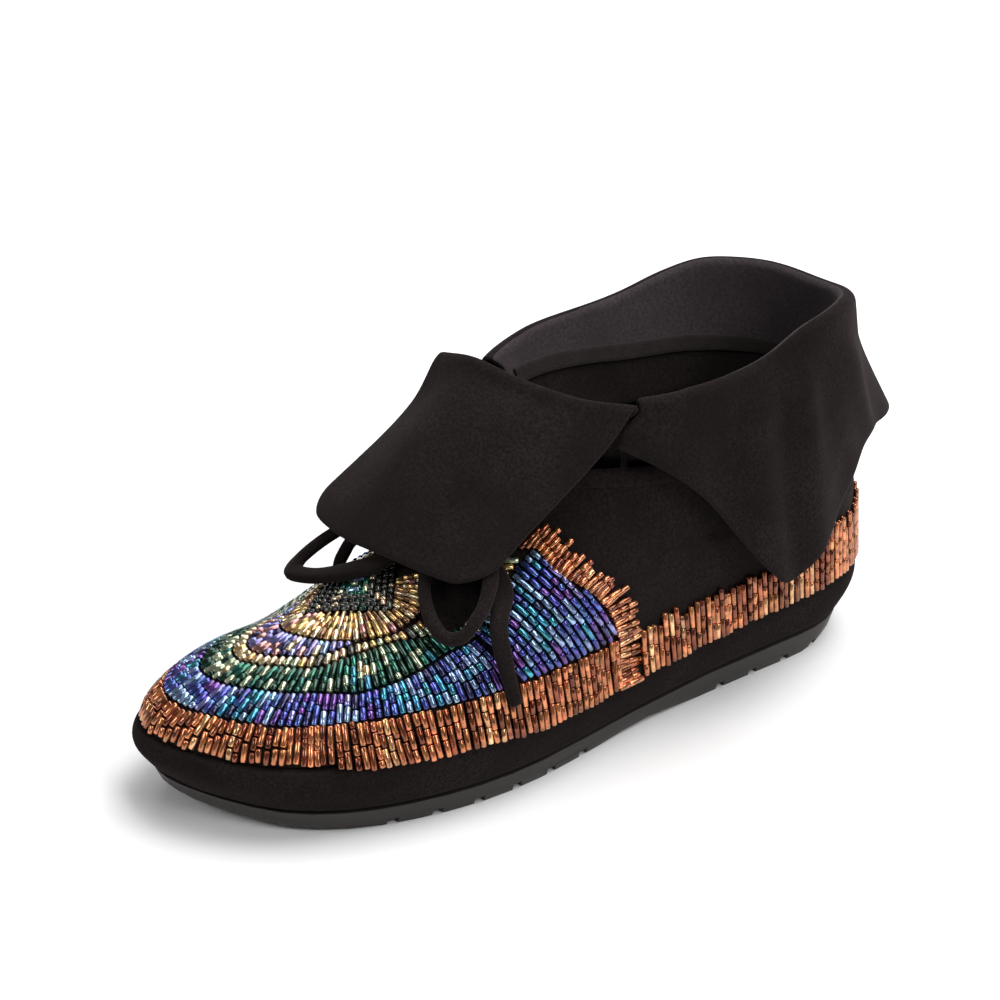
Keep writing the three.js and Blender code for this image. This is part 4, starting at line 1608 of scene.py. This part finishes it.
# The fringe's top is uneven on the quarters and calmer in front of them.
FRINGE_RAGGED = 0.118
RAGGED_HEIGHTS = (-0.2, 0.16)
CALM_SHARE = 0.2
UNEVEN_FOOT = 0.0009
PANEL_CLEAR = 0.0004
# Length of a fringe bead in usual bead lengths, so that a strand has two or three.
FRINGE_BEADS = 1.35
# The walk round the sole: half circles at the heel and the toe, joined by straight runs.
HEEL_ROUND = 0.036
TOE_ROUND = 0.045
HEEL_MIDDLE = place(0.001, HEEL_ROUND, 0)
TOE_MIDDLE = place(0.004, 0.196, 0)
WALK_STEP = 0.0004
# The leather's lower edge is looked for from this angle upwards, in degrees.
EDGE_LOWEST = 8.0
EDGE_STEP = 1.0
# The corner below a side panel's edge: its strands over the rim, each of two beads.
CORNER_DROP = 0.0042
CORNER_TOP = 0.0012
CORNER_SHARES = (0.08, 0.36, 0.64, 0.92)
CORNER_LENGTHS = (0.82, 1.0)
CORNER_CUTS = (0.35, 0.65)
CORNER_GAP = 0.01
CORNER_TILT = 0.3
# The fringe behind a side panel: where it starts along the edge, the plan distance where it ends,
# how many degrees its strands turn from the first to the last, and how uneven they are.
SIDE_START = 0.0026
SIDE_TOP = 0.0455
SIDE_TURN = 48
SIDE_LENGTHS = (0.74, 1.14)
SIDE_RISE = 0.5
SIDE_FALL = 0.12
SIDE_SPREAD = 0.12
SIDE_ROOT = 0.0004
SIDE_LEAST = 0.001
SIDE_BEADS = (0.8, 1.6)
SIDE_GAP = 0.00015
SIDE_CLOSENESS = 0.8


def sole_walk():
    """Middles and directions whose leather lines go round the whole sole."""
    walk = []
    halves = (
        (HEEL_MIDDLE, TOE_MIDDLE, HEEL_ROUND, -90, 90),
        (TOE_MIDDLE, HEEL_MIDDLE, TOE_ROUND, 90, -90),
    )
    for middle, opposite, radius, start, end in halves:
        arc = math.pi * radius
        for i in range(round(arc / WALK_STEP)):
            walk.append((middle, turned(start + 180 * i * WALK_STEP / arc)))
        count = round((HEEL_MIDDLE.y - TOE_MIDDLE.y) / WALK_STEP)
        for i in range(count):
            walk.append((middle.lerp(opposite, i / count), turned(end)))
    return walk


class BOOT_OT_fringes(bpy.types.Operator):
    """Sews the copper fringe round the sole and behind the side panels"""

    bl_idname = "boot.fringes"
    bl_label = "Copper fringes"

    def execute(self, context):
        skin = Skin(bpy.data.objects["upper_leather"])
        wrap = Skin(bpy.data.objects["sole_wrap"])
        side_lines = {side: panel_edge(skin, side) for side in (1, -1)}
        self.sole_fringe(skin, wrap, side_lines)
        self.side_fringe(skin, wrap, side_lines)
        return {"FINISHED"}

    def sole_fringe(self, skin, wrap, side_lines):
        """Strands upright from the sole's rim, all round but behind the panels."""
        beads = Beads("sole_fringe", "copper_beads")
        before = None
        walked = 0.0
        for middle, heading in sole_walk():
            focus = Vector((middle.x, middle.y, SWEEP_FOCUS))
            foot = self.sole_edge(skin, focus, heading)
            walked += (foot - before).length if before is not None else sizes().strand_pitch
            before = foot
            if walked < sizes().strand_pitch:
                continue
            walked -= sizes().strand_pitch
            station = HEEL_TO_ORIGIN - foot.y
            side = 1 if foot.x > 0 else -1
            panel = HEEL_TO_ORIGIN - side_lines[side].points[0][1]
            if panel - sizes().side_fringe < station < panel - PANEL_CLEAR:
                continue
            height = float(np.interp(station, FRINGE_STATIONS, FRINGE_HEIGHTS))
            ragged = 1.0 if station < FRINGE_RAGGED else CALM_SHARE
            height *= 1 + ragged * beads.dice.uniform(*RAGGED_HEIGHTS)
            line = self.over_rim(skin.line(middle, heading), wrap, heading, height - BAND_GAP, station)
            foot_gap = beads.dice.uniform(0.0, UNEVEN_FOOT)
            streak = beads.shade(COPPER)
            lay_strand(
                beads,
                line,
                foot_gap,
                line.along[-1],
                lambda point: beads.streaked(streak, COPPER),
                FRINGE_BEADS,
            )
        beads.piece()

    def over_rim(self, line, wrap, heading, height, station):
        """A straight way from the side of the sole up to a height on a leather line."""
        drop = float(np.interp(station, DROP_STATIONS, FRINGE_DROPS))
        top = line.spot(height)
        if drop < LEAST_DROP:
            return LeatherLine(BAND_MIDDLE, [line.spot(DROPLESS_FOOT), line.spot(height * 0.5), top])
        out = min(RIM_OUT, drop * OUT_PER_DROP)
        foot = wrap.nearest(line.spot(0)[0] + heading * out - UP * drop)
        return LeatherLine(BAND_MIDDLE, [foot, top])

    def sole_edge(self, skin, focus, heading):
        """The leather's lowest point in a direction."""
        rise = EDGE_LOWEST
        while skin.hit(focus, heading, rise)[0] is None:
            rise += EDGE_STEP
        rise = skin.edge_rise(focus, heading, rise, rise - EDGE_STEP)
        return skin.hit(focus, heading, rise)[0]

    def corner_strands(self, beads, line, skin, wrap, side):
        """Strands rearwards below a side panel's edge, over the rim of the sole."""
        out = headed(side * 90)
        rear = Vector((0, sizes().side_fringe, 0))
        high = line.spot(CORNER_TOP)[0]
        low = wrap.nearest(line.spot(0)[0] + out * RIM_OUT - UP * CORNER_DROP)[0]
        far_high = skin.nearest(high + rear)[0]
        far_low = wrap.nearest(low + rear)[0]
        for share in CORNER_SHARES:
            start = low.lerp(high, share)
            end = start.lerp(far_low.lerp(far_high, share), beads.dice.uniform(*CORNER_LENGTHS))
            cut = beads.dice.uniform(*CORNER_CUTS)
            streak = beads.shade(COPPER)
            upright = (out + UP * CORNER_TILT).normalized()
            beads.add(start, start.lerp(end, cut - CORNER_GAP), upright, beads.streaked(streak, COPPER))
            beads.add(start.lerp(end, cut + CORNER_GAP), end, upright, beads.streaked(streak, COPPER))

    def side_fringe(self, skin, wrap, side_lines):
        """Strands rearwards from the edge of each side panel, with ragged ends."""
        beads = Beads("side_fringe", "copper_beads")
        for side, line in side_lines.items():
            self.corner_strands(beads, line, skin, wrap, side)
            along = SIDE_START
            top = line.along_at(SIDE_TOP)
            while along < top:
                root, normal = line.spot(along)
                share = along / top
                rear = headed(side * (PANEL_EDGE + 90 - SIDE_TURN * share))
                length = sizes().side_fringe * beads.dice.uniform(*SIDE_LENGTHS)
                rise = UP * (SIDE_RISE * share - SIDE_FALL + SIDE_SPREAD * beads.dice.uniform(-1, 1))
                way = rear + rise
                way = (way - normal * way.dot(normal)).normalized()
                streak = beads.shade(COPPER)
                reach = SIDE_ROOT
                while reach < length - SIDE_LEAST:
                    span = sizes().bead_length * beads.dice.uniform(*SIDE_BEADS)
                    span = min(span, length - reach)
                    first, lower = skin.nearest(root + way * reach)
                    last, upper = skin.nearest(root + way * (reach + span - SIDE_GAP))
                    tint = beads.streaked(streak, COPPER)
                    beads.add(first, last, (lower + upper).normalized(), tint)
                    reach += span
                along += sizes().strand_pitch * SIDE_CLOSENESS
        beads.piece()


class BOOT_PT_panel(bpy.types.Panel):
    """Lists the boot's pieces and their sizes and colours"""

    bl_idname = "BOOT_PT_panel"
    bl_label = "Moccasin boot"
    bl_space_type = "VIEW_3D"
    bl_region_type = "UI"
    bl_category = "Boot"

    def draw(self, context):
        layout = self.layout
        for operator in OPERATORS:
            layout.operator(operator.bl_idname)
        for group in (context.scene.boot_sizes, context.scene.boot_colours):
            column = layout.column()
            for key in group.bl_rna.properties.keys():
                if key not in ("rna_type", "name"):
                    column.prop(group, key)


OPERATORS = (
    BOOT_OT_stage,
    BOOT_OT_lace,
    BOOT_OT_sole,
    BOOT_OT_upper,
    BOOT_OT_cuff,
    BOOT_OT_flap,
    BOOT_OT_vamp_beads,
    BOOT_OT_fringes,
)
CLASSES = (BootSizes, BootColours, *OPERATORS, BOOT_PT_panel)


def register():
    for kind in CLASSES:
        bpy.utils.register_class(kind)
    bpy.types.Scene.boot_sizes = bpy.props.PointerProperty(type=BootSizes)
    bpy.types.Scene.boot_colours = bpy.props.PointerProperty(type=BootColours)


def unregister():
    del bpy.types.Scene.boot_sizes
    del bpy.types.Scene.boot_colours
    for kind in reversed(CLASSES):
        bpy.utils.unregister_class(kind)


def main():
    register()
    bpy.ops.boot.stage()
    bpy.ops.boot.lace()
    bpy.ops.boot.sole()
    bpy.ops.boot.upper()
    bpy.ops.boot.cuff()
    bpy.ops.boot.flap()
    bpy.ops.boot.vamp_beads()
    bpy.ops.boot.fringes()


if __name__ == "__main__":
    main()
